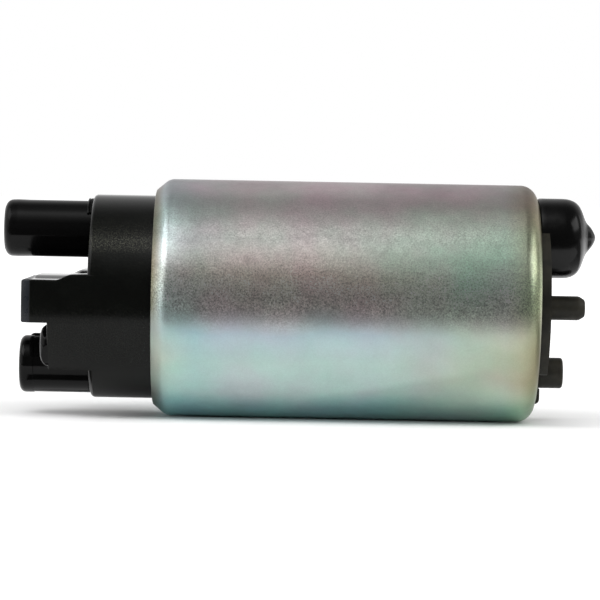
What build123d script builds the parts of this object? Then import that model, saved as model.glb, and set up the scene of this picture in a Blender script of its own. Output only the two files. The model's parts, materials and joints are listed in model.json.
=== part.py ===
from build123d import *
from math import cos, degrees, radians, sin, sqrt, tan
import os

# An electric fuel pump of the kind that hangs inside a car's fuel tank.
# Millimetres, +Z up. The pump lies along X: fuel enters at +X and leaves at -X.
# The origin is the middle of the steel casing, on its axis.
# The -Y side carries the raised side wall beside the connector.

# Fits
fit_gap = 0.05
running_gap = 0.03
lead_gap = 0.3

# How far a cutting shape runs past the face it opens
past = 1.0

# Casing: a steel tube, rolled round over the inlet cover and crimped as a cone over the outlet cover
casing_diameter = 38.0
casing_length = 61.0
casing_wall = 1.4
roll_radius = 2.7
casing_rim_width = 2.8
crimp_length = 2.9
crimp_angle = 40.0
crimp_knee_radius = 2.2
crimp_lip_gap = 0.15

# Inlet cover
inlet_flange_thickness = 5.05
plateau_step = 2.9
plateau_height = 3.05
plateau_chord_depth = 2.3
plateau_corner_radius = 1.5
inlet_inset = 5.6
inlet_pocket_radius = 6.7
nipple_radius = 5.45
nipple_bore_radius = 4.2
nipple_length = 7.15
nipple_nose_length = 1.0
nipple_nose_drop = 0.5
pin_drop = 0.56
pin_radius = 1.95
pin_length = 6.5
pin_nose_length = 1.3
pin_nose_drop = 0.6
vent_inset = 2.25
vent_radius = 2.46
vent_bore_radius = 1.5
vent_bore_floor = 3.0
vent_hole_radius = 0.5
vent_length = 6.25
vent_nose = 0.25
foot_width = 6.0
foot_height = 2.35
foot_depth = 2.6

# Shipping cap on the inlet nipple
cap_wall = 0.9
cap_tip_reach = 3.85
cap_shoulder_radius = 2.9
cap_shoulder_depth = 5.0
cap_tip_radius = 2.2
cap_cone_angle = 54.4
cap_floor_gap = 0.85
cap_floor_chamfer = 1.0
cap_rim_gap = 0.1

# Impeller and its chamber
chamber_wall = 2.47
impeller_thickness = 3.8
impeller_tip_gap = 0.08
vane_count = 43
vane_pocket_width = 1.3
vane_depth = 3.1
vane_ring_thickness = 0.5
vane_web = 0.6
balance_hole_radius = 0.75
balance_hole_circle = 5.0
balance_hole_count = 5
channel_width = 3.13
channel_land = 0.15
channel_depth = 1.2
channel_sweep = 300.0
port_back_off = 6.0
port_radius = 1.5
plate_thickness = 3.1
lower_hub_radius = 5.6
lower_hub_reach = 1.8

# Shaft and bearings
shaft_radius = 2.0
shaft_flat = 1.5
shaft_reach = 0.6
shaft_chamfer = 0.3
shaft_passage_gap = 0.25
thrust_radius = 2.6
thrust_thickness = 1.5
lower_bearing_radius = 4.0
lower_bearing_length = 4.4
upper_bearing_radius = 3.2
upper_bearing_length = 4.5
bearing_inset = 0.3

# Armature and commutator
air_gap = 0.65
slot_count = 8
tooth_share = 0.272
slot_depth = 4.6
slot_shoulder_depth = 1.9
slot_opening = 1.6
shoe_thickness = 1.6
insulator_thickness = 1.0
end_turn_length = 2.0
end_turn_chamfer = 1.2
end_turn_gap = 2.0
coil_gap = 0.2
coil_clearance = 0.3
commutator_step = 4.1
commutator_base_thickness = 3.5
commutator_base_gap = 0.5
commutator_sleeve_radius = 3.3
commutator_sleeve_inset = 0.2
segment_thickness = 2.5
segment_slot = 0.5

# Magnets
magnet_thickness = 4.4
magnet_length = 28.0
magnet_arc = 134.0
clip_thickness = 0.8
clip_clearance = 0.3

# Outlet cover: skirt, side wall and flange
end_flange_land = 2.1
skirt_step = 2.7
skirt_length = 10.0
skirt_wall = 2.0
end_wall = 2.2
skirt_chamfer = 0.5
side_wall_length = 6.2
side_wall_thickness = 1.6
side_wall_inset = 5.1
seal_width = 1.1
seal_thickness = 1.0

# Outlet tube and check valve
outlet_inset = 5.6
outlet_radius = 4.55
outlet_length = 14.2
outlet_tip_round = 1.1
outlet_bead = 0.08
outlet_bead_length = 4.0
outlet_collar = 0.35
outlet_collar_length = 1.2
outlet_bore_radius = 3.3
outlet_throat_radius = 2.4
outlet_root_radius = 3.5
outlet_root_length = 3.3
check_seat_outset = 0.6
check_seat_thickness = 2.0
check_seat_hole = 1.6
check_head_radius = 2.4
check_head_thickness = 1.4
check_nose_radius = 1.4
check_nose_length = 1.0
check_nose_taper = 0.5
check_stem_radius = 0.8
check_spring_length = 6.0
check_stop_thickness = 1.5
check_stop_hole = 0.7
check_stop_circle = 2.2
check_stop_holes = 3
check_spring_radius = 1.5
check_spring_wire = 0.4
check_spring_turns = 5

# Lower tube and relief valve
relief_inset = 5.4
relief_tube_radius = 4.6
relief_collar = 0.15
relief_collar_length = 2.4
relief_length = 11.5
relief_nose_along = 0.6
relief_nose_drop = 0.8
relief_bore_radius = 2.6
relief_port_radius = 1.3
relief_port_depth = 1.0
relief_plunger_radius = 2.3
relief_plunger_length = 2.4
plunger_nose_length = 0.9
relief_spring_radius = 1.4
relief_spring_wire = 0.4
relief_spring_length = 6.4
relief_spring_turns = 5
relief_plug_thickness = 2.2
relief_plug_hole = 1.1

# Connector
shroud_length = 10.3
shroud_height = 6.6
shroud_drop = 0.37
shroud_far_inset = 8.3
shroud_wall = 1.1
shroud_corner = 1.5
shroud_lead_in = 1.5
shroud_lead_in_depth = 0.7
shroud_flare_start = 4.6
shroud_flare_end = 2.1
shroud_flare_rise = 0.75
shroud_flare_root = 0.95
terminal_spacing = 7.0
terminal_width = 2.8
terminal_thickness = 0.8
terminal_recess = 1.3
terminal_tip = 0.6
terminal_pad_radius = 2.6

# Suppression chokes and the pockets that hold them
choke_inset = 2.82
choke_angle = 33.8
choke_pocket_length = 7.4
choke_pocket_radius = 3.3
choke_pocket_nose_length = 1.0
choke_pocket_nose_drop = 1.3
choke_pocket_end = 1.4
choke_radius = 1.9
choke_core_radius = 1.1
choke_core_overhang = 0.6

# Brushes and their holder
holder_ring_wall = 1.5
holder_plate_thickness = 3.0
holder_hub_radius = 4.3
holder_hub_reach = 0.45
holder_window_radius = 2.0
holder_window_inset = 5.35
holder_window_count = 4
brush_overhang = 0.2
brush_hub_gap = 0.3
brush_tangential = 5.5
brush_length = 8.5
brush_stand_out = 1.0
guide_reach = 2.9
guide_wall = 1.0
guide_slit = 1.6
brush_spring_length = 8.0
brush_spring_inset = 0.5
brush_spring_wire = 0.4
brush_spring_turns = 5
brush_lead_radius = 0.45
brush_lead_inset = 0.6
brush_boss_length = 2.0

# Places that follow from those sizes, all along X unless a name says otherwise
casing_radius = casing_diameter / 2
bore_radius = casing_radius - casing_wall
body_radius = bore_radius - fit_gap
rim_in = casing_length / 2
rim_out = -casing_length / 2
casing_opening_radius = casing_radius - casing_rim_width

inlet_face = rim_in - casing_wall - fit_gap
pump_face = inlet_face - inlet_flange_thickness
plateau_face = inlet_face + plateau_height
nipple_end = inlet_face + nipple_length
roll_chamfer = roll_radius - casing_wall
plateau_radius = casing_opening_radius - plateau_step
plateau_chord_drop = plateau_radius - plateau_chord_depth
inlet_offset = casing_opening_radius - inlet_inset
vent_drop = plateau_radius - vent_inset
foot_reach = casing_opening_radius - 2 * fit_gap

chamber_floor = pump_face - impeller_thickness - 2 * running_gap
chamber_radius = body_radius - chamber_wall
impeller_radius = chamber_radius - impeller_tip_gap
plate_back = chamber_floor - plate_thickness
vane_inner_radius = impeller_radius - vane_depth
vane_outer_radius = impeller_radius - vane_ring_thickness
channel_outer_radius = chamber_radius - channel_land
channel_inner_radius = channel_outer_radius - channel_width

shaft_in_end = pump_face + shaft_reach
magnet_in = plate_back - fit_gap
magnet_out = magnet_in - magnet_length
magnet_inner_radius = body_radius - magnet_thickness
core_radius = magnet_inner_radius - air_gap
slot_shoulder = core_radius - slot_shoulder_depth
slot_root = slot_shoulder - slot_depth
tooth_width = tooth_share * core_radius
commutator_radius = core_radius - commutator_step
brush_radial = commutator_radius + brush_overhang - brush_hub_gap - holder_hub_radius
brush_offset = commutator_radius + brush_overhang - brush_radial / 2
brush_spring_radius = brush_radial / 2 - brush_spring_inset
holder_window_circle = body_radius - holder_window_inset

crimp_start = rim_out + crimp_length
flange_in = crimp_start + end_flange_land
end_face = rim_out - skirt_length
end_wall_inside = end_face + end_wall
skirt_radius = casing_radius - skirt_step
lip_radius = skirt_radius + crimp_lip_gap
side_wall_drop = skirt_radius - side_wall_inset
outlet_offset = skirt_radius - outlet_inset
relief_drop = skirt_radius - relief_inset
choke_circle = skirt_radius - choke_inset
choke_offset = choke_circle * cos(radians(choke_angle))
choke_drop = choke_circle * sin(radians(choke_angle))

holder_plate_out = flange_in + fit_gap
holder_plate_in = holder_plate_out + holder_plate_thickness
guide_mouth = holder_plate_in + guide_reach
commutator_face = guide_mouth + brush_stand_out
brush_contact = commutator_face - running_gap
brush_back = brush_contact - brush_length
spring_wall = brush_back - brush_spring_length
guide_end = spring_wall - guide_wall

segment_back = commutator_face + segment_thickness
base_back = segment_back + commutator_base_thickness
winding_out = base_back + commutator_base_gap
core_out = winding_out + end_turn_length + insulator_thickness
winding_in = plate_back - end_turn_gap
core_in = winding_in - end_turn_length - insulator_thickness

holder_hub_in = holder_plate_in + holder_hub_reach
upper_bearing_in = holder_hub_in - bearing_inset
upper_bearing_out = upper_bearing_in - upper_bearing_length
holder_hub_out = upper_bearing_out - bearing_inset
shaft_out_end = upper_bearing_out - bearing_inset

outlet_tip = end_face - outlet_length
relief_tip = end_face - relief_length
shroud_tip = end_face - shroud_length
side_wall_tip = end_face - side_wall_length
choke_pocket_tip = end_face - choke_pocket_length
choke_floor = choke_pocket_tip + choke_pocket_end
shroud_far_reach = skirt_radius - shroud_far_inset
shroud_near_reach = sqrt(skirt_radius**2 - (shroud_height / 2 + shroud_drop) ** 2)
socket_far = shroud_far_reach - shroud_wall
socket_near = shroud_wall + shroud_lead_in_depth - shroud_near_reach

check_shoulder = end_face - check_seat_outset
check_seat_out = check_shoulder - fit_gap - check_seat_thickness
check_head_out = check_seat_out - running_gap - check_head_thickness
check_stop_in = check_head_out - check_spring_length
relief_seat = end_face + relief_port_depth
plunger_face = relief_seat - running_gap
plunger_back = plunger_face - relief_plunger_length
relief_plug_in = plunger_back - relief_spring_length


def turned(*edges):
    """A closed outline of (x, radius) edges, revolved about the X axis."""
    return revolve(Plane.XZ * make_face(Curve() + [*edges]), Axis.X)


def turned_points(*points):
    """The same for an outline of straight runs."""
    return turned(Polyline(*points, close=True))


def bar(radius, x_from, x_to, y=0.0, z=0.0):
    """A round bar along X."""
    low = min(x_from, x_to)
    return Pos(low, y, z) * Rot(0, 90, 0) * Cylinder(
        radius, abs(x_to - x_from), align=(Align.CENTER, Align.CENTER, Align.MIN)
    )


def nosed_bar(radius, x_root, x_tip, nose_length, nose_drop, y=0.0, z=0.0):
    """A round bar along X whose tip is tapered over a length, by a drop in radius."""
    nose_x = x_tip - nose_length if x_tip > x_root else x_tip + nose_length
    bar_outline = ((x_root, 0), (x_root, radius), (nose_x, radius), (x_tip, radius - nose_drop), (x_tip, 0))
    return Pos(0, y, z) * turned_points(*bar_outline)


def tube(outer, inner, x_from, x_to):
    """A round tube on the pump's axis."""
    return bar(outer, x_from, x_to) - bar(inner, x_from, x_to)


def block(x_from, x_to, y_from, y_to, z_from, z_to):
    """A box between two corners."""
    middle = Pos((x_from + x_to) / 2, (y_from + y_to) / 2, (z_from + z_to) / 2)
    return middle * Box(abs(x_to - x_from), abs(y_to - y_from), abs(z_to - z_from))


def across(sketch, x_from, x_to):
    """A sketch drawn across the pump, as (y, z), made solid between two places on X."""
    return extrude(Plane.YZ.offset(min(x_from, x_to)) * sketch, abs(x_to - x_from))


def around(shape, count, first=0.0):
    """Copies of a shape, evenly spaced about the pump's axis."""
    return [Rot(first + 360 * i / count, 0, 0) * shape for i in range(count)]


def sector(outer, inner, angle, x_from, x_to):
    """A piece of a ring, centred on +Z, of the given angle."""
    ring = turned_points((x_from, inner), (x_to, inner), (x_to, outer), (x_from, outer))
    half = radians(angle / 2)
    reach = 2 * outer
    wedge = Polyline(
        (0, 0), (reach * sin(half), reach * cos(half)), (-reach * sin(half), reach * cos(half)), close=True
    )
    return ring & across(make_face(wedge), x_from, x_to)


def coil_spring(radius, wire, x_from, x_to, turns, y=0.0, z=0.0):
    """A compression spring along X, of square wire, between two seats."""
    steps = 12
    first = min(x_from, x_to) + wire / 2 + running_gap
    length = abs(x_to - x_from) - wire - 2 * running_gap
    count = turns * steps
    points = []
    for i in range(count + 1):
        angle = radians(360 * i / steps)
        points.append((first + length * i / count, radius * cos(angle), radius * sin(angle)))
    path = Polyline(*points)
    section = Plane(origin=path @ 0, z_dir=path % 0) * Rectangle(wire, wire)
    return Pos(0, y, z) * sweep(section, path=path, transition=Transition.RIGHT)


def crimp_corner(inset):
    """Where the straight side and the crimp's cone would meet, at a depth under the outer skin."""
    knee = crimp_knee_radius - inset
    return (crimp_start - knee * tan(radians(crimp_angle / 2)), casing_radius - inset)


def crimp_cone(inset, radius):
    """The place on the crimp's cone with this radius, at a depth under the outer skin."""
    corner_x, corner_r = crimp_corner(inset)
    return (corner_x - (corner_r - radius) / tan(radians(crimp_angle)), radius)


def make_casing():
    outer_knee = crimp_corner(0)
    crimp_edge = casing_radius - (outer_knee[0] - rim_out) * tan(radians(crimp_angle))
    roll_inside = rim_in - casing_wall
    outline = make_face(
        Polyline(
            (rim_in, casing_opening_radius),
            (rim_in, casing_radius),
            outer_knee,
            (rim_out, crimp_edge),
            (rim_out, lip_radius),
            crimp_cone(casing_wall, lip_radius),
            crimp_corner(casing_wall),
            (roll_inside - roll_chamfer, bore_radius),
            (roll_inside, bore_radius - roll_chamfer),
            (roll_inside, casing_opening_radius),
            close=True,
        )
    )
    outline = fillet(outline.vertices().sort_by_distance((rim_in, casing_radius))[0], roll_radius)
    outline = fillet(outline.vertices().sort_by_distance(outer_knee)[0], crimp_knee_radius)
    return revolve(Plane.XZ * outline, Axis.X)


def flow_channel(face_x, depth_x):
    """The groove that the fuel is driven round in, from the inlet port to the outlet port."""
    profile = Polyline(
        (face_x, channel_inner_radius),
        (face_x, channel_outer_radius),
        (depth_x, channel_outer_radius - channel_depth / 2),
        (depth_x, channel_inner_radius + channel_depth / 2),
        close=True,
    )
    return revolve(Plane.XZ * make_face(profile), Axis.X, revolution_arc=channel_sweep)


def channel_port(angle, x_from, x_to):
    """A port on the groove's circle, so many degrees round from the top."""
    circle = (channel_inner_radius + channel_outer_radius) / 2
    return Rot(angle, 0, 0) * bar(port_radius, x_from, x_to, z=circle)


def make_inlet_cover():
    flange = turned_points(
        (pump_face, 0),
        (pump_face, body_radius),
        (inlet_face - roll_chamfer, body_radius),
        (inlet_face, body_radius - roll_chamfer),
        (inlet_face, 0),
    )
    outline = Circle(plateau_radius) - Pos(0, inlet_offset) * Circle(inlet_pocket_radius)
    side = 2 * plateau_radius
    outline &= Pos(0, plateau_radius - plateau_chord_drop) * Rectangle(side, side)
    corners = outline.vertices().sort_by(Axis.Y)[:2]
    outline = fillet(corners, plateau_corner_radius)
    plateau = across(outline, inlet_face - fit_gap, plateau_face)
    root = inlet_face - fit_gap
    vent_end = inlet_face + vent_length
    pin_end = plateau_face + pin_length
    pin = nosed_bar(pin_radius, root, pin_end, pin_nose_length, pin_nose_drop, z=-pin_drop)
    vent = nosed_bar(vent_radius, root, vent_end, vent_nose, vent_nose, z=-vent_drop)
    foot_z = foot_depth - foot_reach
    foot = bar(foot_reach, root, inlet_face + foot_height) & block(
        pump_face, rim_in + foot_height, -foot_width / 2, foot_width / 2, -casing_radius, foot_z
    )
    cover = flange + plateau + pin + vent + foot
    bore_floor = pump_face + vent_bore_floor
    vent_hole_drop = vent_drop + vent_bore_radius - vent_hole_radius
    cuts = [
        channel_port(0, pump_face - past, inlet_face + past),
        flow_channel(pump_face, pump_face + channel_depth),
        bar(vent_bore_radius, bore_floor, vent_end + past, z=-vent_drop),
        bar(vent_hole_radius, pump_face - past, bore_floor + past, z=-vent_hole_drop),
        bar(thrust_radius + fit_gap, pump_face - past, shaft_in_end + thrust_thickness + 2 * fit_gap),
    ]
    return cover - cuts


def make_inlet_nipple():
    """The tube that the fuel enters by, over the port in the cover."""
    root = inlet_face + running_gap
    nipple = nosed_bar(nipple_radius, root, nipple_end, nipple_nose_length, nipple_nose_drop)
    return Pos(0, 0, inlet_offset) * (nipple - bar(nipple_bore_radius, root - past, nipple_end + past))


def make_thrust_button():
    return bar(thrust_radius, shaft_in_end + fit_gap, shaft_in_end + fit_gap + thrust_thickness)


def make_inlet_cap():
    """A dipped cap: a cylinder, a round shoulder and the drawn-out tip where the dip ran off."""
    outer = nipple_radius + fit_gap + cap_wall
    tip = nipple_end + cap_tip_reach
    open_end = rim_in + cap_rim_gap
    shoulder_x = tip - cap_shoulder_depth
    shoulder_r = outer - cap_shoulder_radius
    slope = radians(90 - cap_cone_angle)
    tip_centre = tip - cap_tip_radius
    cone_start = (tip_centre + cap_tip_radius * cos(slope), cap_tip_radius * sin(slope))
    tip_middle = (tip_centre + cap_tip_radius * cos(slope / 2), cap_tip_radius * sin(slope / 2))
    shoulder_side = (shoulder_x + cap_shoulder_radius, shoulder_r)
    slant = sqrt(0.5)
    inner = nipple_radius + fit_gap
    floor_x = nipple_end + cap_floor_gap
    body = turned(
        Line((open_end, 0), (open_end, outer)),
        Line((open_end, outer), (shoulder_x, outer)),
        ThreePointArc(
            (shoulder_x, outer),
            (shoulder_x + cap_shoulder_radius * slant, shoulder_r + cap_shoulder_radius * slant),
            shoulder_side,
        ),
        Line(shoulder_side, cone_start),
        ThreePointArc(cone_start, tip_middle, (tip, 0)),
        Line((tip, 0), (open_end, 0)),
    )
    hollow = turned_points(
        (open_end - past, 0),
        (open_end - past, inner),
        (floor_x - cap_floor_chamfer, inner),
        (floor_x, inner - cap_floor_chamfer),
        (floor_x, 0),
    )
    return Pos(0, 0, inlet_offset) * (body - hollow)


def make_pump_housing():
    ring = bar(body_radius, plate_back, pump_face - fit_gap)
    hub_end = plate_back - lower_hub_reach
    hub = bar(lower_hub_radius, hub_end, chamber_floor)
    cuts = [
        bar(chamber_radius, chamber_floor, pump_face + past),
        flow_channel(chamber_floor, chamber_floor - channel_depth),
        channel_port(channel_sweep - port_back_off, plate_back - past, chamber_floor),
        bar(lower_bearing_radius + fit_gap, hub_end - past, chamber_floor - bearing_inset),
        bar(shaft_radius + shaft_passage_gap, plate_back, chamber_floor + past),
    ]
    return ring + hub - cuts


def make_impeller():
    """A side-channel wheel: a ring of pockets in each face, inside a thin outer ring."""
    face_in = pump_face - running_gap
    face_out = face_in - impeller_thickness
    depth = (impeller_thickness - vane_web) / 2
    wheel = bar(impeller_radius, face_out, face_in)
    middle = vane_outer_radius - (vane_outer_radius - vane_inner_radius) / 3
    pockets = []
    for face_x, way in ((face_in, 1), (face_out, -1)):
        profile = Polyline(
            (face_x + way * past, vane_inner_radius),
            (face_x + way * past, vane_outer_radius),
            (face_x - way * depth, vane_outer_radius),
            (face_x - way * depth, middle),
            (face_x, vane_inner_radius),
            close=True,
        )
        pocket = extrude(Plane.XZ * make_face(profile), vane_pocket_width / 2, both=True)
        pockets += around(pocket, vane_count)
    hole = bar(balance_hole_radius, face_out - past, face_in + past, z=balance_hole_circle)
    bore = Circle(shaft_radius + running_gap) & Pos(0, -shaft_radius) * Rectangle(
        4 * shaft_radius, 2 * (shaft_radius + shaft_flat + running_gap)
    )
    holes = around(hole, balance_hole_count)
    return wheel - pockets - holes - across(bore, face_out - past, face_in + past)


def make_shaft():
    """The shaft, with the flat that turns the impeller."""
    shaft = bar(shaft_radius, shaft_out_end, shaft_in_end)
    shaft = chamfer(shaft.edges().filter_by(GeomType.CIRCLE), shaft_chamfer)
    return shaft - block(
        chamber_floor, shaft_in_end + past, -shaft_radius, shaft_radius, shaft_flat, shaft_radius
    )


def make_lower_bearing():
    end = chamber_floor - bearing_inset - fit_gap
    return tube(lower_bearing_radius, shaft_radius + running_gap, end - lower_bearing_length, end)


def make_upper_bearing():
    return tube(upper_bearing_radius, shaft_radius + running_gap, upper_bearing_out, upper_bearing_in)


def slot_outline():
    """One slot of the armature, centred on +Z, between two teeth with parallel sides."""
    half_pitch = radians(180 / slot_count)

    def on_tooth_side(along):
        return (
            along * sin(half_pitch) - tooth_width / 2 * cos(half_pitch),
            along * cos(half_pitch) + tooth_width / 2 * sin(half_pitch),
        )

    root_y, root_z = on_tooth_side(slot_root)
    top_y, top_z = on_tooth_side(slot_shoulder)
    mouth = slot_opening / 2
    neck = core_radius - shoe_thickness
    half = [(root_y, root_z), (top_y, top_z), (mouth, neck), (mouth, core_radius + past)]
    return make_face(Polyline(*half, *[(-y, z) for y, z in reversed(half)], close=True))


def armature_plate(radius, x_from, x_to):
    slots = around(across(slot_outline(), x_from, x_to), slot_count, 180 / slot_count)
    return bar(radius, x_from, x_to) - slots - bar(shaft_radius + fit_gap / 2, x_from - past, x_to + past)


def make_armature_core():
    return armature_plate(core_radius, core_out, core_in)


def make_armature_insulators():
    radius = core_radius - fit_gap
    plate_out = armature_plate(radius, core_out - insulator_thickness, core_out - running_gap)
    plate_in = armature_plate(radius, core_in + running_gap, core_in + insulator_thickness)
    return Compound(children=[plate_out, plate_in])


def make_armature_windings():
    """One coil round each tooth, as the bundle that its turns make."""
    half_pitch = radians(180 / slot_count)
    low = slot_root + tooth_width / 2 * sin(half_pitch)
    high = slot_shoulder - 2 * coil_gap
    wide = coil_gap / cos(half_pitch)
    outline = Polyline(
        (low * tan(half_pitch) - wide, low),
        (high * tan(half_pitch) - wide, high),
        (wide - high * tan(half_pitch), high),
        (wide - low * tan(half_pitch), low),
        close=True,
    )
    bundle = across(make_face(outline), winding_out, winding_in)
    sloping_edges = bundle.faces().filter_by(Axis.X).edges() - bundle.edges().filter_by(Axis.Y)
    bundle = chamfer(sloping_edges, end_turn_chamfer)
    tooth = tooth_width / 2 + coil_clearance
    hole_out = core_out - insulator_thickness - running_gap
    hole_in = core_in + insulator_thickness + running_gap
    coil = bundle - block(hole_out, hole_in, -tooth, tooth, 0, casing_radius)
    return Compound(children=around(coil, slot_count))


def make_commutator_base():
    disc = bar(commutator_radius, segment_back + running_gap, base_back)
    sleeve_end = core_out - insulator_thickness - running_gap
    sleeve = bar(commutator_sleeve_radius, commutator_face + commutator_sleeve_inset, sleeve_end)
    return disc + sleeve - bar(shaft_radius + fit_gap / 2, commutator_face - past, core_in)


def make_commutator_segments():
    ring = tube(commutator_radius, commutator_sleeve_radius + fit_gap, commutator_face, segment_back)
    half_slot = segment_slot / 2
    reach = commutator_radius + past
    slit = block(commutator_face - past, segment_back + past, -half_slot, half_slot, 0, reach)
    return ring - around(slit, slot_count, 180 / slot_count)


def make_magnet():
    return sector(body_radius, magnet_inner_radius, magnet_arc, magnet_out, magnet_in)


def make_magnet_clips():
    """A bent steel strip on each side, which wedges the two magnets apart."""
    middle_radius = (body_radius + magnet_inner_radius) / 2
    opening = 180 - magnet_arc - degrees(2 * clip_clearance / middle_radius)
    hollow = opening - degrees(2 * clip_thickness / middle_radius)
    clip = sector(body_radius, magnet_inner_radius, opening, magnet_out + fit_gap, magnet_in - fit_gap)
    outer = body_radius - clip_thickness
    clip -= sector(outer, magnet_inner_radius - past, hollow, magnet_out - past, magnet_in + past)
    return Compound(children=around(clip, 2, 90))


def guide_sketch(grow):
    """The brush's section, grown by a wall or a gap, as (y, z)."""
    return Rectangle(brush_radial + 2 * grow, brush_tangential + 2 * grow)


def make_brush_holder():
    ring = tube(body_radius, body_radius - holder_ring_wall, holder_plate_out, magnet_out - fit_gap)
    plate = bar(body_radius, holder_plate_out, holder_plate_in)
    hub = bar(holder_hub_radius, holder_hub_out, holder_hub_in)
    holder = ring + plate + hub
    for side in (-1, 1):
        holder += Pos(0, side * brush_offset, 0) * across(guide_sketch(guide_wall), guide_end, guide_mouth)
    plate_from = holder_plate_out - past
    plate_to = holder_plate_in + past
    window = bar(holder_window_radius, plate_from, plate_to, z=holder_window_circle)
    cuts = around(window, holder_window_count, 180 / holder_window_count)
    cuts.append(bar(upper_bearing_radius + fit_gap, holder_hub_out - past, holder_hub_in + past))
    half_slit = guide_slit / 2
    for side in (-1, 1):
        place = Pos(0, side * brush_offset, 0)
        cuts.append(place * across(guide_sketch(fit_gap), spring_wall, guide_mouth + past))
        slit = block(spring_wall, holder_plate_out - fit_gap, -half_slit, half_slit, -brush_tangential, 0)
        cuts.append(place * slit)
    return holder - cuts


def make_brush(side):
    """A carbon brush with a boss on its back that keeps its spring in line."""
    body = across(guide_sketch(0), brush_back, brush_contact)
    boss_radius = brush_spring_radius - brush_spring_wire / 2 - 2 * fit_gap
    boss = bar(boss_radius, brush_back - brush_boss_length, brush_back + fit_gap)
    return Pos(0, side * brush_offset, 0) * (body + boss)


def make_brush_spring(side):
    return coil_spring(
        brush_spring_radius,
        brush_spring_wire,
        spring_wall,
        brush_back,
        brush_spring_turns,
        y=side * brush_offset,
    )


def make_brush_lead(side):
    """The flexible wire from the choke to the brush, through the slit in the brush's guide."""
    entry_x = brush_back + brush_lead_inset
    start = (end_wall_inside + terminal_thickness + 3 * fit_gap, side * choke_offset, -choke_drop)
    corner_a = (spring_wall, side * choke_offset, -choke_drop)
    corner_b = (entry_x, side * brush_offset, -choke_drop)
    end = (entry_x, side * brush_offset, -brush_tangential / 2 - lead_gap)
    path = FilletPolyline(start, corner_a, corner_b, end, radius=3 * brush_lead_radius)
    section = Plane(origin=start, z_dir=(1, 0, 0)) * RegularPolygon(brush_lead_radius, 6)
    return sweep(section, path=path)


def make_end_cover():
    """The outlet cover: its skirt and end wall, the side wall, the relief tube and the choke pockets."""
    inside = skirt_radius - skirt_wall
    seat_depth = casing_wall + fit_gap
    shell = turned_points(
        (flange_in, inside),
        (flange_in, body_radius),
        crimp_corner(seat_depth),
        crimp_cone(seat_depth, skirt_radius),
        (end_face + skirt_chamfer, skirt_radius),
        (end_face, skirt_radius - skirt_chamfer),
        (end_face, 0),
        (end_wall_inside, 0),
        (end_wall_inside, inside),
    )
    cover = shell + relief_tube() + side_wall() + choke_pocket(-1) + choke_pocket(1)
    return cover - end_cover_cuts()


def make_outlet_tube():
    """A round edge at the tip, a slight bead, a straight tube, a collar and a root through the end wall."""
    collar_end = end_face - outlet_collar_length
    bead_end = outlet_tip + outlet_bead_length
    seat = end_face - running_gap
    root_end = end_wall_inside + outlet_root_length
    outline = make_face(
        Polyline(
            (root_end, 0),
            (root_end, outlet_root_radius),
            (seat, outlet_root_radius),
            (seat, outlet_radius + outlet_collar),
            (collar_end, outlet_radius + outlet_collar),
            (collar_end, outlet_radius),
            (bead_end, outlet_radius),
            ((bead_end + outlet_tip) / 2, outlet_radius + outlet_bead),
            (outlet_tip, outlet_radius),
            (outlet_tip, 0),
            close=True,
        )
    )
    outline = fillet(outline.vertices().sort_by_distance((outlet_tip, outlet_radius))[0], outlet_tip_round)
    body = revolve(Plane.XZ * outline, Axis.X)
    cuts = [
        bar(outlet_bore_radius, outlet_tip - past, check_shoulder),
        bar(outlet_throat_radius, check_shoulder, root_end + past),
    ]
    return Pos(0, 0, outlet_offset) * (body - cuts)


def relief_tube():
    collar_radius = relief_tube_radius + relief_collar
    collar_root = relief_tip + relief_collar_length
    tube_body = bar(relief_tube_radius, collar_root, end_face + fit_gap)
    collar = nosed_bar(collar_radius, collar_root, relief_tip, relief_nose_along, relief_nose_drop)
    return Pos(0, 0, -relief_drop) * (tube_body + collar)


def make_connector_shroud():
    """The connector's socket: its near side lies in the skirt's own round skin."""
    half = shroud_height / 2
    root = end_face - running_gap
    near = -casing_radius
    outline = Pos((near + shroud_far_reach) / 2, -shroud_drop) * Rectangle(
        shroud_far_reach - near, shroud_height
    )
    outline = fillet(outline.vertices().sort_by(Axis.X)[-2:], shroud_corner)
    body = across(outline, shroud_tip, root)
    top = half - shroud_drop
    flare_tip = end_face - shroud_flare_start
    flare_top = end_face - shroud_flare_end
    flare_half = ((flare_tip + flare_top) / 2, top + shroud_flare_rise / 2)
    flare_high = (flare_top, top + shroud_flare_rise)
    root_high = (root, top + shroud_flare_root)
    flare = make_face(
        Curve()
        + [
            TangentArc((flare_tip, top), flare_half, tangent=(1, 0)),
            TangentArc(flare_high, flare_half, tangent=(-1, 0)),
            Line(flare_high, root_high),
            Line(root_high, (root, 0)),
            Line((root, 0), (flare_tip, 0)),
            Line((flare_tip, 0), (flare_tip, top)),
        ]
    )
    gusset = Pos(0, near, 0) * extrude(Plane.XZ * flare, near - shroud_far_reach + shroud_corner)
    skin = turned_points(
        (shroud_tip, 0),
        (shroud_tip, skirt_radius - shroud_lead_in_depth),
        (shroud_tip + shroud_lead_in, skirt_radius),
        (end_face + past, skirt_radius),
        (end_face + past, 0),
    )
    middle = (socket_far + socket_near) / 2
    opening = Pos(middle, -shroud_drop) * Rectangle(socket_far - socket_near, shroud_height - 2 * shroud_wall)
    socket = across(opening, shroud_tip - past, end_face - shroud_wall)
    slots = [terminal_blade(side, fit_gap) for side in (-1, 1)]
    return ((body + gusset) & skin) - socket - slots


def side_wall():
    """The stretch of skin that stands up from the skirt below the connector."""
    wall = tube(skirt_radius, skirt_radius - side_wall_thickness, side_wall_tip, end_face + fit_gap)
    top = -shroud_drop - shroud_height / 2 - fit_gap
    return wall & block(side_wall_tip, end_face + past, -casing_radius, 0, -side_wall_drop, top)


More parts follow.
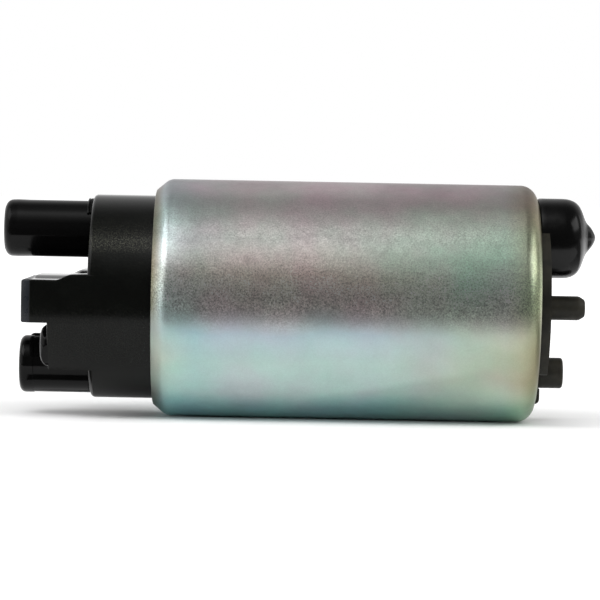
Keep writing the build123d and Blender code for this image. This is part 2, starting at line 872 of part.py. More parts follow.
def choke_pocket(side):
    """The blind pocket for a choke, its outer side flush with the skirt."""
    pocket = nosed_bar(
        choke_pocket_radius,
        end_face + fit_gap,
        choke_pocket_tip,
        choke_pocket_nose_length,
        choke_pocket_nose_drop,
        side * choke_offset,
        -choke_drop,
    )
    return pocket & bar(skirt_radius, choke_pocket_tip - past, end_face + past)


def end_cover_cuts():
    inner_end = end_wall_inside + past
    cuts = [
        bar(outlet_root_radius + fit_gap, end_face - past, inner_end, z=outlet_offset),
        bar(relief_bore_radius, relief_tip - past, relief_seat, z=-relief_drop),
        bar(relief_port_radius, relief_seat, inner_end, z=-relief_drop),
        tube(body_radius + past, body_radius - seal_width, flange_in - seal_thickness, flange_in + past),
    ]
    for side in (-1, 1):
        pocket = bar(choke_radius + fit_gap, choke_floor, inner_end, side * choke_offset, -choke_drop)
        cuts += [pocket, terminal_blade(side, fit_gap)]
    return cuts


def terminal_place(side):
    return (socket_far + socket_near) / 2 + side * terminal_spacing / 2


def terminal_blade(side, grow):
    """A blade's straight part, or with a gap round it the slot that it passes through."""
    half_width = terminal_width / 2 + grow
    half_thick = terminal_thickness / 2 + grow
    middle = terminal_place(side)
    return block(
        shroud_tip + terminal_recess,
        end_wall_inside + fit_gap + grow,
        middle - half_width,
        middle + half_width,
        -shroud_drop - half_thick,
        -shroud_drop + half_thick,
    )


def make_terminal(side):
    """A flat blade in the socket, with a foot inside that reaches over to its choke."""
    blade = terminal_blade(side, 0)
    tip_edges = blade.edges().filter_by(Axis.Y).group_by(Axis.X)[0]
    blade = chamfer(tip_edges, terminal_thickness / 4, terminal_tip)
    start = Vector(terminal_place(side), -shroud_drop)
    end = Vector(side * choke_offset, -choke_drop)
    strap = make_hull(
        [
            *(Pos(start.X, start.Y) * Circle(terminal_width / 2)).edges(),
            *(Pos(end.X, end.Y) * Circle(terminal_width / 2)).edges(),
        ]
    )
    pad = Pos(end.X, end.Y) * Circle(terminal_pad_radius)
    reach = Circle(skirt_radius - skirt_wall - fit_gap)
    foot_out = end_wall_inside + fit_gap
    foot = across((strap + pad) & reach, foot_out, foot_out + terminal_thickness)
    return blade + foot


def make_choke_cores():
    start = choke_floor + fit_gap
    end = end_wall_inside - fit_gap
    return Compound(
        children=[bar(choke_core_radius, start, end, side * choke_offset, -choke_drop) for side in (-1, 1)]
    )


def make_choke_windings():
    start = choke_floor + fit_gap + choke_core_overhang
    end = end_wall_inside - fit_gap - choke_core_overhang
    sleeve = tube(choke_radius, choke_core_radius + fit_gap, start, end)
    return Compound(children=[Pos(0, side * choke_offset, -choke_drop) * sleeve for side in (-1, 1)])


def make_end_cover_seal():
    outer = body_radius
    inner = body_radius - seal_width + fit_gap
    return tube(outer, inner, flange_in - seal_thickness + fit_gap, flange_in)


def make_check_valve_seat():
    end = check_shoulder - fit_gap
    seat = tube(outlet_bore_radius - fit_gap, check_seat_hole, check_seat_out, end)
    return Pos(0, 0, outlet_offset) * seat


def make_check_valve():
    head_in = check_seat_out - running_gap
    nose_end = head_in + check_nose_length
    nose = nosed_bar(check_nose_radius, check_head_out, nose_end, check_nose_taper, check_nose_taper)
    head = bar(check_head_radius, check_head_out, head_in)
    stem = bar(check_stem_radius, check_stop_in - check_stop_thickness / 2, head_in)
    return Pos(0, 0, outlet_offset) * (head + nose + stem)


def make_check_valve_stop():
    stop_out = check_stop_in - check_stop_thickness
    disc = bar(outlet_bore_radius - fit_gap, stop_out, check_stop_in)
    hole = bar(check_stop_hole, stop_out - past, check_stop_in + past, z=check_stop_circle)
    guide = bar(check_stem_radius + fit_gap, stop_out - past, check_stop_in + past)
    return Pos(0, 0, outlet_offset) * (disc - guide - around(hole, check_stop_holes))


def make_check_valve_spring():
    return coil_spring(
        check_spring_radius,
        check_spring_wire,
        check_stop_in,
        check_head_out,
        check_spring_turns,
        z=outlet_offset,
    )


def make_relief_valve():
    """A plunger whose cone sits in the port that leads in from the motor's side."""
    body = bar(relief_plunger_radius, plunger_back, plunger_face)
    nose_radius = relief_port_radius - 2 * fit_gap
    nose = turned_points(
        (plunger_face - fit_gap, 0),
        (plunger_face - fit_gap, nose_radius),
        (plunger_face + plunger_nose_length, nose_radius / 2),
        (plunger_face + plunger_nose_length, 0),
    )
    return Pos(0, 0, -relief_drop) * (body + nose)


def make_relief_spring():
    return coil_spring(
        relief_spring_radius,
        relief_spring_wire,
        relief_plug_in,
        plunger_back,
        relief_spring_turns,
        z=-relief_drop,
    )


def make_relief_plug():
    plug_out = relief_plug_in - relief_plug_thickness
    plug = tube(relief_bore_radius - fit_gap, relief_plug_hole, plug_out, relief_plug_in)
    return Pos(0, 0, -relief_drop) * plug


parts = {
    "casing": make_casing(),
    "inlet_cover": make_inlet_cover(),
    "inlet_nipple": make_inlet_nipple(),
    "inlet_cap": make_inlet_cap(),
    "pump_housing": make_pump_housing(),
    "impeller": make_impeller(),
    "shaft": make_shaft(),
    "thrust_button": make_thrust_button(),
    "lower_bearing": make_lower_bearing(),
    "upper_bearing": make_upper_bearing(),
    "armature_core": make_armature_core(),
    "armature_insulators": make_armature_insulators(),
    "armature_windings": make_armature_windings(),
    "commutator_base": make_commutator_base(),
    "commutator_segments": make_commutator_segments(),
    "magnet_upper": make_magnet(),
    "magnet_lower": Rot(180, 0, 0) * make_magnet(),
    "magnet_clips": make_magnet_clips(),
    "brush_holder": make_brush_holder(),
    "brush_positive": make_brush(-1),
    "brush_negative": make_brush(1),
    "brush_spring_positive": make_brush_spring(-1),
    "brush_spring_negative": make_brush_spring(1),
    "brush_lead_positive": make_brush_lead(-1),
    "brush_lead_negative": make_brush_lead(1),
    "terminal_positive": make_terminal(-1),
    "terminal_negative": make_terminal(1),
    "choke_cores": make_choke_cores(),
    "choke_windings": make_choke_windings(),
    "end_cover": make_end_cover(),
    "outlet_tube": make_outlet_tube(),
    "connector_shroud": make_connector_shroud(),
    "end_cover_seal": make_end_cover_seal(),
    "check_valve_seat": make_check_valve_seat(),
    "check_valve": make_check_valve(),
    "check_valve_spring": make_check_valve_spring(),
    "check_valve_stop": make_check_valve_stop(),
    "relief_valve": make_relief_valve(),
    "relief_spring": make_relief_spring(),
    "relief_plug": make_relief_plug(),
}

os.makedirs("parts", exist_ok=True)
for name, shape in parts.items():
    export_step(shape, f"parts/{name}.step")
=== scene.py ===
"""An electric fuel pump for a car's tank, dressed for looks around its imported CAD.

Lengths are millimetres until a piece is placed, and the pump lies along X.
The studio's own lengths are metres.
"""

import json
from math import atan2, ceil, cos, pi, radians, sin, sqrt, tan

import bmesh
import bpy
from mathutils import Matrix, Vector


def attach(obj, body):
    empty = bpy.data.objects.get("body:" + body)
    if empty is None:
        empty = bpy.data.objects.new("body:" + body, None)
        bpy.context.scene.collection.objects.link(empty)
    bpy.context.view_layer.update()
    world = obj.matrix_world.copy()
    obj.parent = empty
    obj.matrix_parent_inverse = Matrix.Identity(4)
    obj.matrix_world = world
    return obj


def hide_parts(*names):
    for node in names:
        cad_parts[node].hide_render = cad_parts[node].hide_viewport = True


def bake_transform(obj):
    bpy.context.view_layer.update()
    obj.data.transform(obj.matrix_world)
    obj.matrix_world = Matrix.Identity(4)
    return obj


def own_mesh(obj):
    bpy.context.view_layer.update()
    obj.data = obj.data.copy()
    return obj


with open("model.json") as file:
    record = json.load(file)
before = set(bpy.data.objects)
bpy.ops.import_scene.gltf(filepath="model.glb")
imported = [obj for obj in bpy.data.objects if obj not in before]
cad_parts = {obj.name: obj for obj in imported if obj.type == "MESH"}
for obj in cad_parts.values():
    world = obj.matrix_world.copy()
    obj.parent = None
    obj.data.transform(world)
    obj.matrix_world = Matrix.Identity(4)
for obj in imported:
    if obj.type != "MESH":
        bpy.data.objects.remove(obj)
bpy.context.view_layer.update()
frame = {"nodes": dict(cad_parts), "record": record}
nodes = frame["nodes"]
slot_of = {part["node"]: part["material_slot"] for part in frame["record"]["subparts"]}
MM = 0.001

# Sizes that the pieces share, as in the CAD: radii, places along X, and the middles of what lies off the axis
casing_r = 19.0
casing_bore_r = 17.6
flange_r = 17.55
lip_r = 16.45
skirt_r = 16.3
skirt_bore_r = 14.3
rim_x = 30.5
end_x = -40.5
end_wall_x = -38.3
inlet_x = 29.05
outlet_z = 10.7
outlet_bore_r = 3.3
relief_z = -10.9
relief_bore_r = 2.6
choke_y, choke_z = 11.2, -7.5
choke_bore_r = 1.95
blade_z = -0.37
blade_middles = (-7.0907, -0.0907)
inlet_z = 10.6
vent_z = -11.05
vent_bore_r = 1.5
brush_y = 6.6

# Where a piece's root starts, so far inside the piece it stands on that no two faces coincide
outlet_root_x = end_x + 0.1
inlet_root_x = inlet_x - 0.3


# Outlines and meshes


def rounded(*corners, step=radians(12)):
    """A closed outline of (x, y, radius) corners, each rounded by its radius."""
    points = []
    for i, (x, y, radius) in enumerate(corners):
        if not radius:
            points.append((x, y))
            continue
        here = Vector((x, y))
        before = (Vector(corners[i - 1][:2]) - here).normalized()
        after = (Vector(corners[(i + 1) % len(corners)][:2]) - here).normalized()
        half = before.angle(after) / 2
        centre = here + (before + after).normalized() * radius / sin(half)
        start = here + before * radius / tan(half) - centre
        end = here + after * radius / tan(half) - centre
        first = atan2(start.y, start.x)
        turn = (atan2(end.y, end.x) - first + pi) % (2 * pi) - pi
        count = max(2, ceil(abs(turn) / step))
        for k in range(count + 1):
            angle = first + turn * k / count
            points.append((centre.x + radius * cos(angle), centre.y + radius * sin(angle)))
    return points


def arc(radius, first, last, count, y=0.0, z=0.0):
    """Points (y, z) on a circle, its angles in radians from +Y towards +Z."""
    angles = [first + (last - first) * k / count for k in range(count + 1)]
    return [(y + radius * cos(angle), z + radius * sin(angle)) for angle in angles]


def quarter(count):
    """The angles of a quarter turn in equal steps."""
    return [pi / 2 * k / count for k in range(count + 1)]


def eased(t):
    """A share from 0 to 1 that starts and ends slowly."""
    return t * t * (3 - 2 * t)


def smoothed(points, count):
    """A smooth line through the points, in so many steps from each to the next."""
    line = []
    for i in range(len(points) - 1):
        a, b, c, d = (Vector(points[min(max(i + k, 0), len(points) - 1)]) for k in (-1, 0, 1, 2))
        for k in range(count):
            t = k / count
            straight = 2 * b + (c - a) * t
            curve = straight + (2 * a - 5 * b + 4 * c - d) * t**2 + (3 * b - a - 3 * c + d) * t**3
            line.append(tuple(0.5 * curve))
    return line + [tuple(points[-1])]


def made(name, bm):
    """An object from a bmesh, still in millimetres."""
    bmesh.ops.recalc_face_normals(bm, faces=bm.faces)
    mesh = bpy.data.meshes.new(name)
    bm.to_mesh(mesh)
    bm.free()
    obj = bpy.data.objects.new(name, mesh)
    bpy.context.scene.collection.objects.link(obj)
    return obj


def lathe(name, outline, y=0.0, z=0.0, sides=96, first=0.0, sweep=360.0):
    """A solid turned about a line along X from an outline of (x, radius)."""
    bm = bmesh.new()
    closed = sweep >= 360
    count = sides if closed else sides + 1
    angles = [radians(first + sweep * i / sides) for i in range(count)]
    rings = []
    for x, radius in outline:
        if radius < 1e-6:
            rings.append([bm.verts.new((x, y, z))] * count)
        else:
            rings.append([bm.verts.new((x, y + radius * sin(a), z + radius * cos(a))) for a in angles])
    for ring, after in zip(rings, rings[1:] + rings[:1]):
        for i in range(sides):
            j = (i + 1) % count
            corners = []
            for vertex in (ring[i], ring[j], after[j], after[i]):
                if vertex not in corners:
                    corners.append(vertex)
            if len(corners) > 2:
                bm.faces.new(corners)
    if not closed:
        bm.faces.new([ring[0] for ring in rings])
        bm.faces.new([ring[-1] for ring in rings])
    return made(name, bm)


def loft(name, sections):
    """A solid through closed sections of the same number of (x, y, z) points, with flat ends."""
    bm = bmesh.new()
    rings = [[bm.verts.new(point) for point in section] for section in sections]
    count = len(rings[0])
    for ring, after in zip(rings, rings[1:]):
        for i in range(count):
            j = (i + 1) % count
            bm.faces.new((ring[i], ring[j], after[j], after[i]))
    bm.faces.new(rings[0])
    bm.faces.new(rings[-1])
    return made(name, bm)


def prism(name, outline, x_from, x_to):
    """A solid from an outline of (y, z), between two places on X."""
    return loft(name, [[(x, y, z) for y, z in outline] for x in (x_from, x_to)])


def bar(name, radius, x_from, x_to, y=0.0, z=0.0, sides=64):
    """A round bar along X."""
    return lathe(name, [(x_from, 0), (x_from, radius), (x_to, radius), (x_to, 0)], y, z, sides)


def block(name, x_from, x_to, y_from, y_to, z_from, z_to, corner=0.0):
    """A box whose edges along X may be rounded."""
    corners = ((y_from, z_from), (y_to, z_from), (y_to, z_to), (y_from, z_to))
    return prism(name, rounded(*[(y, z, corner) for y, z in corners]), x_from, x_to)


def combine(obj, tools, operation="DIFFERENCE"):
    """Cuts the tools out of obj, or joins them to it, and applies that."""
    for tool in tools:
        modifier = obj.modifiers.new("combine", "BOOLEAN")
        modifier.object = tool
        modifier.operation = operation
        modifier.solver = "EXACT"
        mesh = bpy.data.meshes.new_from_object(obj.evaluated_get(bpy.context.evaluated_depsgraph_get()))
        obj.modifiers.clear()
        obj.data = mesh
        bpy.data.objects.remove(tool)
    return obj


def tube_along(name, points, radius, sides=10):
    """A round wire along a smooth line of points."""
    line = [Vector(point) for point in points]
    steps = [(b - a).normalized() for a, b in zip(line, line[1:])]
    heads = [steps[0]] + [(a + b).normalized() for a, b in zip(steps, steps[1:])] + [steps[-1]]
    turns = [2 * pi * i / sides for i in range(sides)]
    normal = heads[0].orthogonal().normalized()
    sections = []
    for k, (point, head) in enumerate(zip(line, heads)):
        if k:
            normal = heads[k - 1].rotation_difference(head) @ normal
        normal = (normal - head * normal.dot(head)).normalized()
        side = head.cross(normal)
        sections.append([tuple(point + radius * (cos(turn) * normal + sin(turn) * side)) for turn in turns])
    return loft(name, sections)


def stranded(name, points, radius):
    """A flexible wire along a line of points: one bare strand in the middle and six twisted round it."""
    strands, pitch, thin = 6, 3.2, radius / 3
    line = [Vector(point) for point in points]
    routes = [[] for _ in range(strands + 1)]
    normal, along = None, 0.0
    for k, point in enumerate(line):
        head = (line[min(k + 1, len(line) - 1)] - line[max(k - 1, 0)]).normalized()
        normal = head.orthogonal() if normal is None else normal - head * normal.dot(head)
        normal.normalize()
        side = head.cross(normal)
        along += (point - line[k - 1]).length if k else 0.0
        routes[0].append(point)
        for i in range(strands):
            angle = 2 * pi * (along / pitch + i / strands)
            routes[i + 1].append(point + (radius - thin) * (cos(angle) * normal + sin(angle) * side))
    bm = bmesh.new()
    for route in routes:
        strand = tube_along("strand", route, thin, 6)
        bm.from_mesh(strand.data)
        bpy.data.objects.remove(strand)
    return made(name, bm)


def spring(name, radius, wire, x_from, x_to, turns, y, z):
    """A compression spring along X whose end turns lie closed."""
    closed, steps_per_turn = 0.7, 28
    closed_pitch = wire * 1.08
    span = x_to - x_from - wire
    free_pitch = (span - 2 * closed_pitch * closed) / (turns - 2 * closed)
    points = []
    for i in range(steps_per_turn * turns + 1):
        turned = i / steps_per_turn
        if turned < closed:
            along = closed_pitch * turned
        elif turned > turns - closed:
            along = span - closed_pitch * (turns - turned)
        else:
            along = closed_pitch * closed + free_pitch * (turned - closed)
        angle = 2 * pi * turned
        points.append((x_from + wire / 2 + along, y + radius * cos(angle), z + radius * sin(angle)))
    return tube_along(name, points, wire / 2)


# Shader nodes


def seen(red, green, blue):
    """A colour as it looks on a screen, 0 to 255, as the numbers a shader takes."""
    shares = (red / 255, green / 255, blue / 255)
    linear = [c / 12.92 if c <= 0.04045 else ((c + 0.055) / 1.055) ** 2.4 for c in shares]
    return (*linear, 1.0)


def node(tree, kind, inputs=None, **settings):
    """A shader node, its inputs given as values or as other nodes' outputs."""
    new = tree.nodes.new("ShaderNode" + kind)
    for key, value in settings.items():
        setattr(new, key, value)
    for key, value in (inputs or {}).items():
        if isinstance(value, bpy.types.NodeSocket):
            tree.links.new(value, new.inputs[key])
        else:
            new.inputs[key].default_value = value
    return new


def mixed(tree, factor, a, b, mode="MIX"):
    """Two colours, mixed."""
    colour_a, colour_b, colour_result = 6, 7, 2
    inputs = {0: factor, colour_a: a, colour_b: b}
    return node(tree, "Mix", inputs, data_type="RGBA", blend_type=mode).outputs[colour_result]


def ramp(tree, factor, stops):
    """A colour ramp through (place, colour) stops."""
    new = node(tree, "ValToRGB", {0: factor})
    elements = new.color_ramp.elements
    while len(elements) < len(stops):
        elements.new(0.5)
    for element, (place, colour) in zip(elements, stops):
        element.position = place
        element.color = colour
    return new.outputs["Color"]


def tints(tree, factor, *stops):
    """A colour ramp through (place, red, green, blue) stops, the colours as they look on a screen."""
    return ramp(tree, factor, [(place, seen(*colour)) for place, *colour in stops])


def levels(tree, value, low, high, *stops, full=1.0):
    """Grey through (value, level) stops between a low and a high value, the levels as a share of full."""
    greys = [((at - low) / (high - low), level / full) for at, level in stops]
    colours = [(place, (grey, grey, grey, 1)) for place, grey in greys]
    return ramp(tree, spread(tree, value, low, high, 0, 1), colours)


def math(tree, operation, a, b=0.0, c=0.0):
    """A sum, a product or another piece of arithmetic."""
    return node(tree, "Math", {0: a, 1: b, 2: c}, operation=operation).outputs[0]


def spread(tree, value, low, high, to_low, to_high):
    """A value moved from one range to another, and held inside it."""
    inputs = {"Value": value, "From Min": low, "From Max": high, "To Min": to_low, "To Max": to_high}
    return node(tree, "MapRange", inputs).outputs[0]


def noise(tree, place, size, detail=3.0, roughness=0.55, offset=0.0):
    """Noise whose features are about size millimetres across."""
    shift = (offset, offset * 1.7, -offset)
    moved = node(tree, "VectorMath", {0: place, 1: shift}, operation="ADD").outputs[0]
    inputs = {"Vector": moved, "Scale": 1 / size, "Detail": detail, "Roughness": roughness}
    return node(tree, "TexNoise", inputs).outputs["Fac"]


def bumped(tree, shader, *layers, strength=1.0):
    """Stacks bump layers of (height socket, depth in millimetres) onto the shader."""
    normal = None
    for height, depth in layers:
        inputs = {"Height": height, "Distance": depth * MM, "Strength": strength}
        if normal:
            inputs["Normal"] = normal
        normal = node(tree, "Bump", inputs).outputs["Normal"]
    tree.links.new(normal, shader.inputs["Normal"])


# Finishes


def new_finish(name):
    """A material, its node tree, its shader and the place on the object in millimetres."""
    material = bpy.data.materials.new(name)
    material.use_nodes = True
    tree = material.node_tree
    shader = tree.nodes["Principled BSDF"]
    where = node(tree, "TexCoord").outputs["Object"]
    place = node(tree, "VectorMath", {0: where, "Scale": 1 / MM}, operation="SCALE").outputs[0]
    return material, tree, shader, place


def finish(name, colour, rough, metal=0.0, spread_of=0.15, blotch=7.0, grain=0.25, depth=0.004,
           second=None, rough_spread=0.08, lines=None, wear=None, sparkle=None, smooth_tops=False,
           matt_tip=None, **sockets):
    """A procedural finish: blotches of colour, roughness that varies and a fine grain.

    lines: tool marks or turns of wire, as (direction, pitch, depth). wear: the colour of worn edges.
    sparkle: bright dots painted into the colour as glints, as (size, colour, (z, share) stops). smooth_tops:
    faces that look up are smoother.
    matt_tip: where along X a rougher tip starts, where it is full, and by how much.
    """
    material, tree, shader, place = new_finish(name)
    axes = node(tree, "SeparateXYZ", {0: place})
    base = seen(*colour)
    dark = tuple(c * (1 - spread_of) for c in base[:3]) + (1.0,)
    light = tuple(min(c * (1 + spread_of), 1) for c in (seen(*second) if second else base)[:3]) + (1.0,)
    blotches = spread(tree, noise(tree, place, blotch, 5), 0.35, 0.65, 0, 1)
    tone = mixed(tree, blotches, dark, light)
    fine = noise(tree, place, grain, 3)
    tone = mixed(tree, 0.25, tone, mixed(tree, fine, dark, light))
    uneven = noise(tree, place, blotch / 3, 4, offset=11)
    roughness = spread(tree, uneven, 0.3, 0.7, rough - rough_spread, rough + rough_spread)
    layers = [(fine, depth)]
    if lines:
        # At scale 1 a wave's bands lie pi / 10 apart.
        direction, pitch, line_depth = lines
        scale = pi / 10 / pitch
        wave = node(
            tree,
            "TexWave",
            {"Vector": place, "Scale": scale, "Distortion": 0.4, "Detail Scale": 0.5},
            wave_type="BANDS",
            bands_direction=direction,
            wave_profile="SIN",
        ).outputs["Fac"]
        layers.insert(0, (wave, line_depth))
        tone = mixed(tree, math(tree, "MULTIPLY", math(tree, "SUBTRACT", 1.0, wave), 0.5), tone, dark)
    if wear:
        edge = spread(tree, node(tree, "NewGeometry").outputs["Pointiness"], 0.52, 0.6, 0, 1)
        patches = spread(tree, noise(tree, place, 1.2, 4, offset=5), 0.4, 0.65, 0, 1)
        worn = math(tree, "MULTIPLY", edge, patches)
        tone = mixed(tree, worn, tone, seen(*wear))
    # Bright dots painted into the colour in a band of heights: painted glints.
    if sparkle:
        size, sparkle_colour, stops = sparkle
        zone = levels(tree, axes.outputs["Z"], -20, 20, *stops)
        dots = spread(tree, noise(tree, place, size, 2, 0.75, offset=7), 0.47, 0.66, 0, 1)
        tone = mixed(tree, math(tree, "MULTIPLY", dots, zone), tone, seen(*sparkle_colour))
    strength = 1.0
    if smooth_tops:
        facing = node(tree, "SeparateXYZ", {0: node(tree, "NewGeometry").outputs["Normal"]}).outputs["Z"]
        top = spread(tree, facing, 0.9, 0.985, 0, 1)
        strength = math(tree, "SUBTRACT", 1.0, top)
        roughness = math(tree, "MULTIPLY", roughness, spread(tree, top, 0, 1, 1, 0.35))
    if matt_tip:
        start, full, rise = matt_tip
        roughness = math(tree, "ADD", roughness, spread(tree, axes.outputs["X"], start, full, 0, rise))
    tree.links.new(tone, shader.inputs["Base Color"])
    tree.links.new(roughness, shader.inputs["Roughness"])
    shader.inputs["Metallic"].default_value = metal
    for socket, value in sockets.items():
        shader.inputs[socket.replace("_", " ")].default_value = value
    bumped(tree, shader, *layers, strength=strength)
    return material


def zinc_tint(tree, place, x, height, along, drift, pale):
    """The colour of the zinc's film: cool at the outlet end and warm at the inlet end, dull at both rims, and
    pale under the crimp's painted highlight.
    """
    sea, aqua, sky = (190, 250, 250), (230, 255, 250), (222, 246, 255)
    cream, peach, pearl, rose = (255, 252, 246), (255, 243, 231), (255, 250, 247), (255, 240, 243)
    jade, mint, olive, ivory = (210, 255, 240), (228, 255, 236), (224, 234, 210), (246, 255, 242)
    cool = tints(tree, height, (0.03, *sea), (0.12, *aqua), (0.25, *aqua), (0.37, *sky), (0.48, *cream),
                 (0.61, *peach), (0.76, *pearl), (0.87, *pearl), (0.96, *rose))
    warm = tints(tree, height, (0.03, *jade), (0.11, *mint), (0.20, *olive), (0.31, *olive), (0.44, *ivory),
                 (0.60, *mint), (0.72, *mint), (0.89, *ivory), (0.96, *rose))
    ends = tints(
        tree,
        spread(tree, math(tree, "MULTIPLY_ADD", drift, 0.5, x), -31, 31, 0, 1),
        (0.000, 150, 153, 134),
        (0.014, 164, 168, 152),
        (0.023, 196, 206, 198),
        (0.034, 222, 246, 248),
        (0.060, 232, 254, 255),
        (0.140, 246, 254, 255),
        (0.240, 255, 255, 255),
        (0.900, 255, 255, 255),
        (0.945, 248, 244, 230),
        (0.975, 217, 209, 185),
        (1.000, 206, 195, 168),
    )
    film = mixed(tree, spread(tree, along, 2, 23, 0, 1), cool, warm)
    # Under the crimp's painted highlight the film turns pale and loses its darker rim.
    film = mixed(tree, pale, film, seen(244, 249, 235))
    film = mixed(tree, 1.0, film, mixed(tree, pale, ends, seen(255, 255, 255)), "MULTIPLY")
    patches = spread(tree, noise(tree, place, 9, 3, 0.5, offset=4), 0.3, 0.7, 0, 1)
    return mixed(tree, 1.0, film, mixed(tree, patches, seen(255, 242, 248), seen(242, 255, 248)), "MULTIPLY")


def zinc_light(tree, x, z, height, along, drift, pale):
    """Painted light on the zinc: highlight bands and shade by height and towards the rims, as a factor on its
    colour.
    """
    light = levels(tree, height, 0, 1, (0.05, 0.97), (0.13, 1.03), (0.21, 1.0), (0.28, 0.95), (0.36, 0.99),
                   (0.40, 1.0), (0.45, 1.12), (0.50, 1.36), (0.57, 1.56), (0.66, 1.39), (0.72, 1.04),
                   (0.77, 0.76), (0.83, 0.89), (0.88, 1.09), (0.94, 1.15), (0.975, 0.99), (1.0, 0.8),
                   full=1.66)
    # Towards the inlet end the upper half gets a painted highlight and the top gets painted shade.
    inlet_half = spread(tree, along, 0, 26, 0, 1)
    rise = spread(tree, height, 0.4, 0.6, -0.03, 0.12)
    top_rise = spread(tree, height, 0.7, 0.77, 0, 0.3)
    lighter = math(tree, "MULTIPLY", inlet_half, math(tree, "ADD", rise, top_rise))
    darker = math(tree, "MULTIPLY", inlet_half, spread(tree, height, 0.87, 0.97, 0, -0.66))
    light = math(tree, "MULTIPLY", light, math(tree, "ADD", math(tree, "ADD", 0.99, lighter), darker))
    # Low on the tube, a slanting edge of painted shade starts in the middle and fades out near the inlet end.
    slope = math(tree, "MULTIPLY_ADD", drift, 0.5, math(tree, "MULTIPLY_ADD", x, -0.197, z))
    slanting_shade = spread(tree, slope, -13.9, -15.0, 0, 1)
    slanting_shade = math(tree, "MULTIPLY", slanting_shade, spread(tree, along, -9, 4, 0, 0.15))
    slanting_shade = math(tree, "MULTIPLY", slanting_shade, spread(tree, along, 13, 23, 1, 0))
    light = math(tree, "MULTIPLY", light, math(tree, "SUBTRACT", 1.0, slanting_shade))
    # The crimp's painted highlight lightens its lower side a little more.
    light = math(tree, "MULTIPLY", light, math(tree, "MULTIPLY_ADD", pale, 0.06, 1.0))
    # The crimp's upper side gets a painted highlight, from its cone over the bend.
    upper_side = levels(tree, height, 0, 1, (0.44, 0.0), (0.50, 0.25), (0.60, 0.2), (0.66, 0.4), (0.70, 0.75),
                        (0.75, 1.0), (0.82, 0.95), (0.87, 0.7), (0.93, 0.0))
    bend = levels(tree, x, -30, -24, (-29.52, 0.4), (-28.8, 0.6), (-28.2, 0.8), (-27.84, 1.0), (-27.3, 1.0),
                  (-26.52, 0.55), (-25.32, 0.3), (-24.0, 0.0))
    crimp_highlight = math(tree, "MULTIPLY", upper_side, bend)
    return math(tree, "MULTIPLY", light, math(tree, "MULTIPLY_ADD", crimp_highlight, 0.75, 1.0))


def zinc_finish():
    """Zinc plate with a coloured film: tints drift round the tube and along it, over a fine grain, with
    highlights and shade painted into its colour.
    """
    material, tree, shader, place = new_finish("zinc_plate")
    axes = node(tree, "SeparateXYZ", {0: place})
    x, z = axes.outputs["X"], axes.outputs["Z"]
    drift = spread(tree, noise(tree, place, 16, 3, 0.55), 0.2, 0.8, -1.4, 1.4)
    height = math(tree, "MULTIPLY_ADD", drift, 0.025, spread(tree, z, -casing_r, casing_r, 0, 1))
    along = math(tree, "MULTIPLY_ADD", drift, 6.0, x)
    # The crimp's lower side gets a pale, warm painted highlight.
    lower_side = levels(tree, height, 0, 1, (0.08, 0.1), (0.16, 0.55), (0.24, 1.0), (0.34, 0.6), (0.40, 0.5),
                        (0.48, 0.0))
    pale = math(tree, "MULTIPLY", lower_side, spread(tree, x, -23.5, -29.5, 0, 1))
    film = zinc_tint(tree, place, x, height, along, drift, pale)
    light = zinc_light(tree, x, z, height, along, drift, pale)
    # The plate is rough above and smooth below, as in the photograph.
    # Its grain and flecks in the colour are strongest in a band of heights where grains catch light: painted
    # glints as well as grain.
    grain_and_glint = levels(tree, height, 0, 1, (0.38, 0.1), (0.44, 0.45), (0.48, 0.95), (0.54, 1.0), (0.62, 0.75),
                    (0.72, 0.42), (0.80, 0.55), (0.90, 0.28), (0.97, 0.18))
    specks = math(tree, "SUBTRACT", noise(tree, place, 0.24, 2, 0.7, offset=7), 0.5)
    flecks = math(tree, "SUBTRACT", noise(tree, place, 1.5, 4, 0.65, offset=12), 0.5)
    grains = math(tree, "MULTIPLY_ADD", math(tree, "MULTIPLY", specks, 2.6), grain_and_glint, 1.0)
    mottle = math(tree, "MULTIPLY_ADD", math(tree, "MULTIPLY", flecks, 0.75), grain_and_glint, 1.0)
    cloud = spread(tree, noise(tree, place, 6, 4, 0.55, offset=3), 0.3, 0.7, 0.95, 1.05)
    grey = math(tree, "MULTIPLY", math(tree, "MULTIPLY", grains, mottle), math(tree, "MULTIPLY", cloud, 0.99))
    grey = math(tree, "MULTIPLY", grey, light)
    tone = node(tree, "VectorMath", {0: film, "Scale": grey}, operation="SCALE").outputs[0]
    tree.links.new(tone, shader.inputs["Base Color"])
    rough = spread(tree, noise(tree, place, 0.8, 4, 0.6, offset=2), 0.3, 0.7, 0.32, 0.4)
    tree.links.new(rough, shader.inputs["Roughness"])
    shader.inputs["Metallic"].default_value = 1.0
    fine = noise(tree, place, 0.4, 2, 0.6)
    waves = noise(tree, place, 3.5, 2, 0.5, offset=9)
    bumped(tree, shader, (waves, 0.02), (math(tree, "MULTIPLY", fine, grain_and_glint), 0.03))
    return material


# The skirt's bright dots are painted glints, as (z, share) stops: most of them lie in one band, where its
# highlight falls
glint_band = ((-4, 0.08), (2, 0.02), (7.2, 0.06), (8.2, 0.6), (9.2, 0.75), (10.3, 0.3), (11.6, 0.12),
               (13.5, 0.03))

